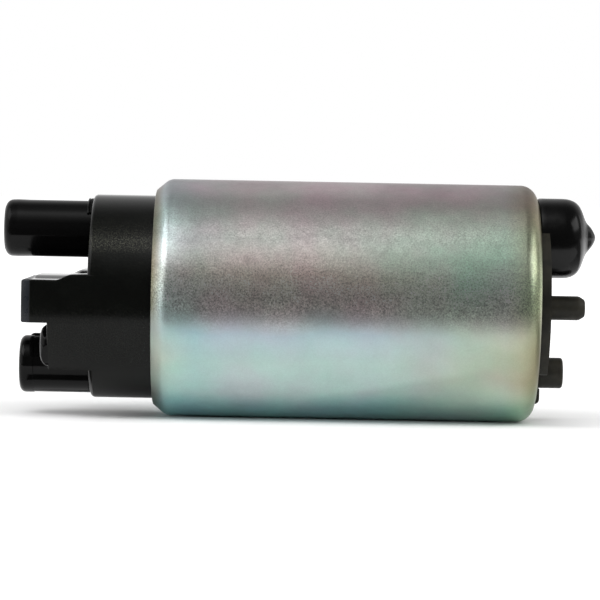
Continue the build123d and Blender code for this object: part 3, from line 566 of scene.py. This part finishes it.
# One finish for each material slot of the record, and five more for pieces that differ from their slot's
finishes = {
    "zinc_plated_steel": zinc_finish(),
    # The skirt's plastic carries painted glints in one band of heights.
    "outlet_plastic": finish("eroded_glinting_plastic", (6, 7, 6), 0.21, rough_spread=0.04, grain=0.4, depth=0.007,
                             blotch=4, spread_of=0.3, sparkle=(0.19, (72, 73, 62), glint_band),
                             smooth_tops=True, Specular_IOR_Level=0.17),
    # The connector's lip is a lighter, bluer grey than its black plastic: a painted reflection.
    "lip_plastic": finish("lip_painted_reflection", (26, 29, 34), 0.3, grain=0.6, depth=0.003, blotch=3,
                          Specular_IOR_Level=0.3),
    "gloss_plastic": finish("gloss_plastic", (6, 6, 6), 0.12, rough_spread=0.03, grain=0.6, depth=0.0015,
                            blotch=5, smooth_tops=True, matt_tip=(-53.2, -54.0, 0.2),
                            Specular_IOR_Level=0.16),
    # Near-black matt plastic standing for the shade in a groove: painted shade.
    "groove_shade_plastic": finish("groove_shade_plastic", (7, 7, 7), 0.55, grain=0.3, depth=0.006, blotch=2,
                           Specular_IOR_Level=0.1),
    "inlet_plastic": finish("filled_plastic", (31, 30, 25), 0.5, grain=0.15, depth=0.008, blotch=2.5,
                            second=(40, 38, 30), spread_of=0.25, Specular_IOR_Level=0.25),
    "cap_vinyl": finish("dipped_vinyl", (6, 6, 6), 0.2, rough_spread=0.03, grain=1.8, depth=0.006, blotch=4,
                        Specular_IOR_Level=0.25),
    "pump_plastic": finish("pump_plastic", (122, 112, 96), 0.48, grain=0.2, depth=0.008,
                           second=(140, 128, 106)),
    "bearing_carbon": finish("bearing_carbon", (52, 52, 55), 0.35, grain=0.12, depth=0.004),
    "ground_steel": finish("ground_steel", (176, 178, 182), 0.2, 1.0, grain=0.1, depth=0.002,
                           lines=("X", 0.08, 0.002)),
    "lamination_steel": finish("laminated_steel", (128, 128, 132), 0.4, 1.0, lines=("X", 0.5, 0.05),
                               second=(142, 132, 120)),
    "insulating_plastic": finish("insulating_plastic", (58, 74, 96), 0.45, grain=0.2, depth=0.006),
    "enamelled_copper": finish("enamelled_copper", (170, 84, 38), 0.3, 0.85, lines=("DIAGONAL", 0.4, 0.12),
                               second=(196, 104, 48), Coat_Weight=0.4),
    "wound_wire": finish("wound_wire", (168, 80, 36), 0.27, 0.85, grain=0.12, depth=0.002, blotch=1.5,
                         second=(196, 104, 48), Coat_Weight=0.4),
    "strands": finish("strands", (196, 122, 84), 0.34, 1.0, grain=0.1, depth=0.002, blotch=1.2,
                      second=(170, 96, 62)),
    "bare_copper": finish("bare_copper", (196, 122, 84), 0.3, 1.0, lines=("X", 0.15, 0.004),
                          second=(176, 104, 70)),
    "magnet_ferrite": finish("ferrite", (62, 62, 64), 0.55, 0.2, grain=0.3, depth=0.01, wear=(104, 104, 106)),
    "spring_steel": finish("spring_steel", (150, 150, 154), 0.28, 1.0, grain=0.1, depth=0.002),
    "brush_carbon": finish("brush_carbon", (42, 41, 42), 0.5, 0.15, grain=0.12, depth=0.01,
                           second=(60, 52, 46)),
    "terminal_metal": finish("tinned_brass", (196, 192, 178), 0.28, 1.0, grain=0.3, depth=0.003,
                             second=(206, 196, 160)),
    "choke_ferrite": finish("choke_ferrite", (70, 66, 64), 0.55, 0.1, grain=0.2, depth=0.01),
    "seal_rubber": finish("seal_rubber", (30, 30, 30), 0.6, grain=0.3, depth=0.006),
    "valve_brass": finish("turned_brass", (204, 170, 102), 0.26, 1.0, lines=("X", 0.12, 0.004)),
    "valve_rubber": finish("valve_rubber", (40, 38, 38), 0.55, grain=0.25, depth=0.006),
    "bronze": finish("sintered_bronze", (170, 128, 84), 0.45, 1.0, grain=0.12, depth=0.015,
                     second=(150, 110, 70)),
}


def placed(obj, body, slot, stands_for=(), finish_name=None, bevel=0.0, sharp=32):
    """Puts a piece in the frame: metres, its finish, soft edges, its body, if it has one, and its node."""
    obj.data.transform(Matrix.Scale(MM, 4))
    obj.data.materials.clear()
    obj.data.materials.append(finishes[finish_name or slot])
    obj.data.polygons.foreach_set("use_smooth", [True] * len(obj.data.polygons))
    obj.data.set_sharp_from_angle(angle=radians(sharp))
    if bevel:
        edge = obj.modifiers.new("soft_edges", "BEVEL")
        edge.width = bevel * MM
        edge.segments = 3
        edge.limit_method = "ANGLE"
        edge.angle_limit = radians(40)
        edge.harden_normals = True
    if body:
        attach(obj, body)
    if stands_for:
        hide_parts(*stands_for)


# The casing

casing = lathe(
    "casing_shell",
    rounded(
        (rim_x, 16.2, 0.45),
        (rim_x, casing_r, 2.7),
        (-28.4007, casing_r, 2.2),
        (-rim_x, 17.2385, 0.35),
        (-rim_x, lip_r, 0.2),
        (-29.2617, lip_r, 0),
        (-27.8912, casing_bore_r, 0),
        (27.8, casing_bore_r, 0),
        (29.1, 16.3, 0),
        (29.1, 16.2, 0),
        step=radians(8),
    ),
    sides=200,
)
placed(casing, "housing", "zinc_plated_steel", ["casing"])

# The outlet end


def blade_slots(x_from, x_to):
    """The two blades with a gap round each, to cut their slots."""
    wide, thick = 1.45, 0.45
    low, high = blade_z - thick, blade_z + thick
    return [block("slot", x_from, x_to, y - wide, y + wide, low, high) for y in blade_middles]


skirt = lathe(
    "outlet_skirt",
    rounded(
        (-25.5, skirt_bore_r, 0),
        (-25.5, lip_r, 0),
        (-26.5, lip_r, 0),
        (-26.5, flange_r, 0),
        (-27.873, flange_r, 0),
        (-29.3627, skirt_r, 0),
        (end_x, skirt_r, 0.7),
        (end_x, 0, 0),
        (end_wall_x, 0, 0),
        (end_wall_x, skirt_bore_r, 0.5),
    ),
    sides=180,
)
outside, inside = end_x - 1, -37
combine(
    skirt,
    [
        bar("outlet_root", 3.55, outside, inside, 0, outlet_z),
        bar("relief_bore", relief_bore_r, outside, -39.5, 0, relief_z),
        bar("relief_port", 1.3, outside, inside, 0, relief_z),
        *[bar("choke_bore", choke_bore_r, outside, inside, side * choke_y, choke_z) for side in (-1, 1)],
        *blade_slots(outside, inside),
    ],
)
placed(skirt, "housing", "outlet_plastic", ["end_cover"])

# What stands up from the skirt's round skin starts here, a hair outside the skin.
root_x, root_r = -39.4, skirt_r + 0.006


def wall_section(x, inset=0.0):
    """The side wall's outline across X: a strip of the skirt's round skin."""
    top, low, outer, inner = -3.7, -11.32 + inset, root_r - inset, 14.7
    turn = [atan2(z, -sqrt(outer**2 - z * z)) % (2 * pi) for z in (top, low)]
    back = [atan2(z, -sqrt(inner**2 - z * z)) % (2 * pi) for z in (low, top)]
    return [(x, y, z) for y, z in arc(outer, *turn, 20) + arc(inner, *back, 20)]


wall_tip, wall_round = -46.7, 0.25
side_wall = loft(
    "side_wall",
    [
        *[wall_section(wall_tip + wall_round * (1 - cos(a)), wall_round * (1 - sin(a))) for a in quarter(3)],
        wall_section(root_x),
    ],
)
placed(side_wall, "housing", "outlet_plastic", ["end_cover"])

pocket_r, pocket_tip, pocket_floor = 3.3, -47.9, -46.5
for side, label in ((-1, "near"), (1, "far")):
    pocket = lathe(
        f"choke_pocket_{label}",
        rounded(
            (outlet_root_x, choke_bore_r, 0),
            (outlet_root_x, pocket_r, 0),
            (pocket_tip, pocket_r, 1.3),
            (pocket_tip, 0, 0),
            (pocket_floor, 0, 0),
            (pocket_floor, choke_bore_r, 0),
        ),
        side * choke_y,
        choke_z,
        sides=72,
    )
    combine(pocket, [bar("skin", skirt_r - 0.02, -49, -39, sides=180)], "INTERSECT")
    placed(pocket, "housing", "outlet_plastic", ["end_cover"], "gloss_plastic", bevel=0.12)

# The relief tube's outside lies a little lower than its bore.
relief_tip = -52.0
relief_tube = combine(
    lathe(
        "relief_tube",
        rounded(
            (outlet_root_x, 0, 0),
            (outlet_root_x, 4.5, 0),
            (-49.65, 4.5, 0),
            (-49.72, 4.59, 0.05),
            (relief_tip, 4.59, 1.0),
            (relief_tip, 0, 0),
        ),
        z=relief_z - 0.22,
        sides=120,
    ),
    [bar("bore", relief_bore_r, relief_tip - 1, -39, 0, relief_z)],
)
placed(relief_tube, "housing", "outlet_plastic", ["end_cover"], "gloss_plastic")


def rib_section(x, top):
    """The outline across X of the rib on the relief tube."""
    low = -8.2
    outline = ((0.6, low), (3.4, low), (3.4, top - 0.55), (2.9, top - 0.12), (2.3, top), (0.75, top),
               (0.6, top - 0.1))
    return [(x, y, z) for y, z in outline]


relief_rib = loft(
    "relief_rib",
    [
        *[rib_section(-50.6 + 0.7 * (1 - cos(a)), -6.95 + 0.72 * sin(a)) for a in quarter(4)],
        rib_section(outlet_root_x, -6.23),
    ],
)
placed(relief_rib, "housing", "outlet_plastic", ["end_cover"], "gloss_plastic")

seated_x, throat_x, throat_r = -40.53, -41.1, 2.4
outlet_tube = lathe(
    "outlet_tube_body",
    rounded(
        (-35.0, throat_r, 0),
        (-35.0, 3.5, 0.3),
        (seated_x, 3.5, 0),
        (seated_x, 4.55, 0),
        (-50.7, 4.55, 0),
        (-52.7, 4.6, 6),
        (-54.7, 4.52, 1.3),
        (-54.7, outlet_bore_r, 0.25),
        (throat_x, outlet_bore_r, 0),
        (throat_x, throat_r, 0),
    ),
    z=outlet_z,
    sides=120,
)
placed(outlet_tube, "housing", "outlet_plastic", ["outlet_tube"], "gloss_plastic")
tube_gusset = lathe(
    "tube_gusset",
    rounded((-41.1, 4.4, 0), (-41.1, 4.98, 0.1), (-41.45, 4.98, 0.2), (-41.45, 4.4, 0)),
    z=outlet_z,
    sides=40,
    first=-57,
    sweep=114,
)
placed(tube_gusset, "housing", "outlet_plastic", ["outlet_tube"], "gloss_plastic")
# The gusset's root is near-black matt plastic in the groove behind the gusset: painted shade.
gusset_root = lathe(
    "gusset_root",
    rounded((seated_x, 4.4, 0), (seated_x, 4.93, 0), (-40.95, 4.93, 0.15), (-41.15, 4.8, 0),
            (-41.15, 4.4, 0)),
    z=outlet_z,
    sides=40,
    first=-56,
    sweep=112,
)
placed(gusset_root, "housing", "outlet_plastic", ["outlet_tube"], "groove_shade_plastic")


def shroud_section(x, top, skin, inset=0.0):
    """The connector's outline across X: its near side is the skirt's round skin."""
    low, far, corner, edge = -3.78 + inset, 8.0 - inset, 1.5, 0.22
    top, skin = top - inset, skin - inset
    heights = [low + edge + (top - low - 2 * edge) * k / 14 for k in range(15)]
    near = [(-sqrt(skin**2 - z * z), z) for z in heights]
    edge_low = arc(edge, -pi / 2, -pi, 4, near[0][0] + edge, low + edge)[:-1]
    edge_high = arc(edge, pi, pi / 2, 4, near[-1][0] + edge, top - edge)[1:]
    start, stop = edge_high[-1][0], far - corner
    over = [(start + (stop - start) * k / 4, top) for k in range(1, 4)]
    turn_high = arc(corner, pi / 2, 0, 6, far - corner, top - corner)
    turn_low = arc(corner, 0, -pi / 2, 6, far - corner, low + corner)
    under = [(stop + (start - stop) * k / 4, low) for k in range(1, 4)]
    return [(x, y, z) for y, z in edge_low + near + edge_high + over + turn_high + turn_low + under]


shroud_tip, lip_x, shroud_top, lip_skin, tip_round = -50.8, -49.42, 2.93, 16.24, 0.3
root_top = shroud_top + 0.95
lip_piece = loft(
    "socket_lip",
    [
        *[
            shroud_section(shroud_tip + tip_round * (1 - cos(a)), shroud_top, 15.6 + 0.1 * (1 - cos(a)),
                           tip_round * (1 - sin(a)))
            for a in quarter(4)
        ],
        shroud_section(lip_x - 0.12, shroud_top, lip_skin),
        shroud_section(lip_x, shroud_top, lip_skin),
    ],
)
flare = [k / 12 for k in range(13)]
shroud = loft(
    "connector_socket",
    [
        shroud_section(lip_x, shroud_top, lip_skin),
        shroud_section(lip_x + 0.06, shroud_top, skirt_r),
        *[shroud_section(-45.55 + 2.6 * t, shroud_top + 0.88 * eased(t), skirt_r) for t in flare],
        shroud_section(end_x - 0.15, root_top, skirt_r),
        shroud_section(end_x, root_top, root_r),
        shroud_section(root_x, root_top, root_r),
    ],
)


def platform_section(x, top):
    """The outline across X of the raised platform on the connector."""
    low = 2.4
    outline = ((-6.6, low), (7.0, low), (7.0, top - 0.3), (6.7, top), (-3.4, top), (-3.8, top - 0.04),
               (-4.8, top - 0.2), (-5.8, top - 0.4), (-6.6, top - 0.6))
    return [(x, y, z) for y, z in outline]


platform = loft(
    "socket_platform",
    [
        *[platform_section(-49.7 + 0.45 * (1 - cos(a)), shroud_top + 0.37 * sin(a)) for a in quarter(4)],
        *[platform_section(-44.6 + 2.6 * k / 8, 3.3 + 0.95 * eased(k / 8)) for k in range(9)],
        platform_section(outlet_root_x, 4.25),
    ],
)
for piece in (shroud, lip_piece):
    socket = block("socket", shroud_tip - 1, -41.6, -14.08, 6.9, -2.57, 1.83, 0.5)
    combine(piece, [socket, *blade_slots(-42, -39)])
placed(shroud, "housing", "outlet_plastic", ["connector_shroud"])
placed(lip_piece, "housing", "outlet_plastic", ["connector_shroud"], "lip_plastic")
placed(platform, "housing", "outlet_plastic", ["connector_shroud"], "gloss_plastic")

# The inlet end

cover_face = 24.0
cover = lathe(
    "inlet_cover_body",
    rounded(
        (cover_face, 0, 0),
        (cover_face, flange_r, 0.2),
        (27.75, flange_r, 0),
        (inlet_x, 16.25, 0),
        (inlet_x, 0, 0),
    ),
    sides=180,
)

# The raised disc: a big arc, cut away round the nipple above, and straight with round corners below
disc_r, disc_corner, pocket_round = 13.3, 1.5, 6.7
corner_z, pocket_edge = -9.5, (6.636, 11.526)
corner_y = sqrt((disc_r - disc_corner) ** 2 - corner_z**2)
corner_end = atan2(corner_z, corner_y)
plateau_side = [
    *arc(disc_corner, -pi / 2, corner_end, 6, corner_y, corner_z),
    *arc(disc_r, corner_end, atan2(pocket_edge[1], pocket_edge[0]), 40)[1:],
    *arc(pocket_round, atan2(pocket_edge[1] - inlet_z, pocket_edge[0]), -pi / 2, 20, 0, inlet_z)[1:],
]
plateau_outline = plateau_side + [(-y, z) for y, z in reversed(plateau_side[:-1])]
plateau = prism("plateau", plateau_outline, inlet_root_x, 32.22)


def foot_section(x, low):
    """The outline across X of the foot: straight above and at the sides, round below."""
    half, top, corner = 3, -13.5, -15.0
    under = arc(low, atan2(corner, half), atan2(corner, -half), 10)
    return [(x, y, z) for y, z in [(-half, top), (half, top), *under]]


foot_edge = ((inlet_root_x, 16.1), (30.75, 16.1), (31.0, 16.05), (31.2, 15.9), (31.33, 15.65),
             (31.38, 15.3))
foot = loft("foot", [foot_section(x, low) for x, low in foot_edge])
pin = lathe(
    "pin",
    rounded((inlet_root_x, 0, 0), (inlet_root_x, 1.95, 0), (37.6, 1.95, 1.1), (38.6, 1.34, 0.5),
            (38.6, 0, 0)),
    z=-0.56,
    sides=72,
)
vent = lathe(
    "vent",
    rounded((inlet_root_x, 0, 0), (inlet_root_x, 2.46, 0), (35.2, 2.46, 0.45), (35.2, 0, 0)),
    z=vent_z,
    sides=72,
)
combine(cover, [plateau, foot, pin, vent], "UNION")
channel_in, channel_out, channel_floor = 11.8, 14.93, 25.2
combine(
    cover,
    [
        bar("port", 1.5, cover_face - 1, 31, 0, (channel_in + channel_out) / 2),
        bar("vent_bore", vent_bore_r, 27.0, 37, 0, vent_z),
        bar("vent_hole", 0.5, cover_face - 1, 28, 0, vent_z - 1.0, 24),
        bar("thrust_pocket", 2.65, cover_face - 1, 26.2),
        lathe(
            "channel",
            [
                (cover_face - 1, channel_in),
                (cover_face - 1, channel_out),
                (cover_face, channel_out),
                (channel_floor, channel_out - 0.6),
                (channel_floor, channel_in + 0.6),
                (cover_face, channel_in),
            ],
            sides=100,
            sweep=-300,
        ),
    ],
)
placed(cover, "housing", "inlet_plastic", ["inlet_cover"], bevel=0.16)

nipple_x, nipple_r, nipple_bore_r = 29.08, 5.45, 4.2
nipple = lathe(
    "inlet_nipple_tube",
    rounded(
        (nipple_x, nipple_bore_r, 0),
        (nipple_x, nipple_r, 0),
        (35.2, nipple_r, 0.8),
        (36.2, 4.95, 0.3),
        (36.2, nipple_bore_r, 0.25),
    ),
    z=inlet_z,
)
placed(nipple, "housing", "inlet_plastic", ["inlet_nipple"])

cap_skin = smoothed(
    [(31.2, 6.4), (34.2, 6.4), (35.1, 6.37), (35.75, 6.27), (36.4, 6.04), (36.95, 5.68), (37.35, 5.24),
     (37.7, 4.62), (38.0, 3.88), (38.28, 3.12), (38.6, 2.48), (38.95, 2.06), (39.3, 1.64), (39.6, 1.2),
     (39.85, 0.74), (40.0, 0.34), (40.05, 0.0)],
    4,
)
cap_bore_r, cap_floor = 5.5, 37.05
cap = lathe(
    "inlet_cap_shell",
    [
        (30.6, cap_bore_r),
        (30.6, 6.1),
        (30.68, 6.28),
        (30.85, 6.38),
        *cap_skin,
        (cap_floor, 0),
        (cap_floor, cap_bore_r - 1.0),
        (cap_floor - 1.0, cap_bore_r),
    ],
    z=inlet_z,
    sides=120,
)
# The drip at the cap's tip hangs a little to one side.
drip_start, drip_length, drip_shift = 37.2, 2, 0.2
for vertex in cap.data.vertices:
    if vertex.co.x > drip_start:
        vertex.co.z += drip_shift * min(1, (vertex.co.x - drip_start) / drip_length)
placed(cap, "inlet_cap", "cap_vinyl", ["inlet_cap"])

# Springs and leads

spring_wire = 0.4
for side, label in ((-1, "positive"), (1, "negative")):
    coil = spring(f"brush_coil_{label}", 1.5, spring_wire, -35.08, -27.08, 7, side * brush_y, 0)
    placed(coil, "housing", "spring_steel", [f"brush_spring_{label}"])
    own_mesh(coil)
    # From the choke, along the cover, round into the brush guide's slit and up into the brush
    route = ((-37.35, 11.2, -7.5), (-36.1, 11.2, -7.5), (-34.8, 11.05, -7.5), (-31.0, 9.02, -7.5),
             (-27.9, 7.36, -7.46), (-26.95, 6.86, -7.1), (-26.52, 6.62, -6.2), (-26.48, 6.6, -4.8),
             (-26.48, 6.6, -3.05))
    lead = stranded(f"lead_wire_{label}", smoothed([(x, side * y, z) for x, y, z in route], 9), 0.45)
    placed(lead, None, "bare_copper", [f"brush_lead_{label}"], "strands", sharp=60)
    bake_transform(lead)
    winding = spring(f"choke_wire_{label}", 1.53, 0.72, -45.85, -38.95, 8, side * choke_y, choke_z)
    placed(winding, "housing", "enamelled_copper", ["choke_windings"], "wound_wire")
coil = spring("check_coil", 1.5, spring_wire, -50.58, -44.58, 6, 0, outlet_z)
placed(coil, "housing", "spring_steel", ["check_valve_spring"])
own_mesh(coil)
coil = spring("relief_coil", 1.4, spring_wire, -48.33, -41.93, 7, 0, relief_z)
placed(coil, "housing", "spring_steel", ["relief_spring"])
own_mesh(coil)

# The CAD nodes that nothing replaces are seen as they are, in their slot's finish.
for name, obj in nodes.items():
    if not obj.hide_render:
        if not obj.data.materials:
            obj.data.materials.append(None)
        for index in range(len(obj.data.materials)):
            obj.data.materials[index] = finishes[slot_of[name]]

# The studio


def stage_finish(name, glow, colour=(0, 0, 0)):
    """A matt studio surface with a light of its own: a strength, or a function of its tree and its axes."""
    material = bpy.data.materials.new(name)
    material.use_nodes = True
    tree = material.node_tree
    shader = tree.nodes["Principled BSDF"]
    shader.inputs["Base Color"].default_value = seen(*colour)
    shader.inputs["Roughness"].default_value = 1.0
    shader.inputs["Specular IOR Level"].default_value = 0.0
    shader.inputs["Emission Color"].default_value = (1, 1, 1, 1)
    if callable(glow):
        axes = node(tree, "SeparateXYZ", {0: node(tree, "TexCoord").outputs["Object"]}).outputs
        tree.links.new(glow(tree, axes), shader.inputs["Emission Strength"])
    else:
        shader.inputs["Emission Strength"].default_value = glow
    return material


def shown_directly(tree):
    """1 for what the camera sees, directly, mirrored or through a clear part."""
    path = node(tree, "LightPath")
    return math(
        tree,
        "MAXIMUM",
        path.outputs["Is Camera Ray"],
        math(tree, "MAXIMUM", path.outputs["Is Glossy Ray"], path.outputs["Is Transmission Ray"]),
    )


def panel(name, rows, material, hidden=True):
    """A studio panel through pairs of corners, in metres. A hidden one shows in reflections only."""
    bm = bmesh.new()
    pairs = [[bm.verts.new(corner) for corner in row] for row in rows]
    for a, b in zip(pairs, pairs[1:]):
        bm.faces.new((a[0], a[1], b[1], b[0]))
    obj = made(name, bm)
    obj.data.materials.append(material)
    if hidden:
        obj.visible_camera = False
        obj.visible_diffuse = False
        obj.visible_shadow = False
        obj.visible_transmission = False


def card(name, x_from, x_to, y_from, y_to, glow, above=0.0001):
    """A panel that lies just above the floor."""
    z = floor_z + above
    panel(name, [((x_from, y, z), (x_to, y, z)) for y in (y_from, y_to)], stage_finish(name, glow))


def band(name, low, high, material, distance, left, right):
    """A panel bent about X over the pump, from one height to another, in degrees over the front."""
    count = ceil((high - low) / 3)
    angles = [radians(low + (high - low) * k / count) for k in range(count + 1)]
    rows = [[(x, -distance * cos(angle), distance * sin(angle)) for x in (left, right)] for angle in angles]
    panel(name, rows, material)


def glow_by_height(tree, axes, low, high, *stops, full=1.0):
    """Light through (degrees over the front, level) stops."""
    angle = math(tree, "ARCTAN2", axes["Z"], math(tree, "MULTIPLY", axes["Y"], -1.0))
    turned = [(radians(at), level) for at, level in stops]
    return levels(tree, angle, radians(low), radians(high), *turned, full=full)


def floor_glow(tree, axes):
    """The floor's glow fades out right under the pump, where a real sheet is in the pump's shade."""
    beside = spread(tree, math(tree, "ABSOLUTE", axes["Y"]), 0.002, 0.011, 0, 1)
    beyond = spread(tree, math(tree, "ABSOLUTE", axes["X"]), 0.024, 0.046, 0, 1)
    where = node(tree, "TexCoord").outputs["Object"]
    away = node(tree, "VectorMath", {0: where}, operation="LENGTH").outputs["Value"]
    near, far = math(tree, "MAXIMUM", beside, beyond), spread(tree, away, 0.06, 0.5, 0, 0.4)
    return math(tree, "MULTIPLY", shown_directly(tree), math(tree, "MULTIPLY_ADD", near, 0.14, far))


def screen_glow(tree, axes):
    """The screen is dim in front and bright behind, and dimmer beyond the pump's inlet end."""
    stops = ((-2, 0.1), (20, 0.135), (44, 0.15), (100, 0.18), (108, 0.24), (118, 0.36), (130, 0.6),
             (144, 0.68), (158, 0.74), (170, 1.0), (180, 1.15))
    light = glow_by_height(tree, axes, -2, 180, *stops)
    return math(tree, "MULTIPLY", light, spread(tree, axes["X"], 0.1, 0.15, 1.0, 0.65))


def strip_glow(tree, axes):
    """The strip light is brightest over the pump's front, and towards the casing's inlet end."""
    stops = ((20, 0.1), (32, 0.26), (44, 0.66), (54, 1.3), (61, 1.75), (68, 1.7), (74, 1.1), (82, 0.55),
             (94, 0.34), (106, 0.26))
    light = glow_by_height(tree, axes, 20, 106, *stops, full=2.0)
    sides = math(tree, "MULTIPLY", spread(tree, axes["X"], -0.13, -0.07, 0.4, 1.0),
                 spread(tree, axes["X"], 0.055, 0.085, 2.9, 0.16))
    return math(tree, "MULTIPLY", light, sides)


def cap_shade_glow(tree, axes):
    """The shade under the cap is dimmer towards its far end."""
    return spread(tree, axes["X"], 0.046, 0.085, 0.8, 0.27)


# The floor is a pale sheet, a hair under the pump.
floor_z = -casing_r * MM - 0.00002
floor_finish = stage_finish("floor", floor_glow, (236, 236, 236))
panel("floor", [((-4, y, floor_z), (4, y, floor_z)) for y in (-4, 4)], floor_finish, hidden=False)

# One bent screen stands over the pump from the front to the back, with a strip light under it.
# Both glow but light nothing and show only in reflections: painted reflections and a painted highlight.
band("screen", -2, 180, stage_finish("screen", screen_glow), 1.4, -1.6, 1.6)
band("strip_light", 20, 106, stage_finish("strip_light", strip_glow), 1.0, -0.35, 0.105)

# The undersides mirror painted shade and a white card under the relief tube, a dark sheet in front, painted
# shade at the cap.
card("shade", -0.0515, -0.0412, -0.0115, -0.0062, 0.06)
# A glowing card under the relief tube's tip, seen only in reflections: a painted white reflection.
card("reflected_white_card", -0.056, -0.0412, -0.0058, 0.001, 0.9)
# A dim sheet on the floor in front, seen only in reflections: a painted dark reflection.
card("reflected_dark_sheet", -2.2, 2.2, -1.4, -0.053, 0.08, above=0.001)
card("side_shade", 0.1, 0.8, -0.053, 0.06, 0.27)
card("cap_shade", 0.046, 0.1, -0.012, 0.06, cap_shade_glow)
# A dim sheet at the right, seen only in reflections: a painted dark reflection.
dim_sheet_corners = [((1.5, y, floor_z), (1.5, y, 1.5)) for y in (-1.3, 0.7)]
panel("reflected_dim_sheet", dim_sheet_corners, stage_finish("reflected_dim_sheet", 0.22))

world = bpy.data.worlds.new("studio")
bpy.context.scene.world = world
world.use_nodes = True
background = world.node_tree.nodes["Background"]
background.inputs["Color"].default_value = (1, 1, 1, 1)
ambient = spread(world.node_tree, shown_directly(world.node_tree), 0, 1, 0.7, 1.0)
world.node_tree.links.new(ambient, background.inputs["Strength"])


def softbox(name, place, size, power, mirrored=True):
    """A soft rectangular lamp that faces the pump."""
    lamp = bpy.data.lights.new(name, "AREA")
    lamp.shape = "RECTANGLE"
    lamp.size, lamp.size_y = size
    lamp.energy = power
    obj = bpy.data.objects.new(name, lamp)
    obj.location = place
    obj.rotation_euler = (-Vector(place)).to_track_quat("-Z", "Y").to_euler()
    obj.visible_glossy = mirrored
    bpy.context.scene.collection.objects.link(obj)


softbox("key", (0, -0.55, 0.85), (1.2, 0.5), 4.5, mirrored=False)
softbox("left_lamp", (-0.66, -0.3, 0.72), (0.8, 0.55), 2.9)
softbox("right_lamp", (0.8, -0.31, 0.58), (0.74, 0.5), 2.6)

# The camera stands where the photograph was taken: a long lens, a little above the axis, a little rolled.
pitch, roll, distance = radians(2.3), radians(1.1), 0.499
aim = Vector((-7.23, 0, -0.075)) * MM
forward = Vector((0, cos(pitch), -sin(pitch)))
level, upright = Vector((1, 0, 0)), Vector((0, sin(pitch), cos(pitch)))
right = cos(roll) * level + sin(roll) * upright
up = cos(roll) * upright - sin(roll) * level
lens = bpy.data.cameras.new("camera")
lens.lens, lens.sensor_width = 186.0, 36.0
lens.clip_start, lens.clip_end = 0.01, 50.0
camera = bpy.data.objects.new("camera", lens)
bpy.context.scene.collection.objects.link(camera)
turn = Matrix((right, up, -forward)).transposed().to_4x4()
camera.matrix_world = Matrix.Translation(aim - forward * distance) @ turn
bpy.context.scene.camera = camera
bpy.context.scene.view_settings.view_transform = "Standard"
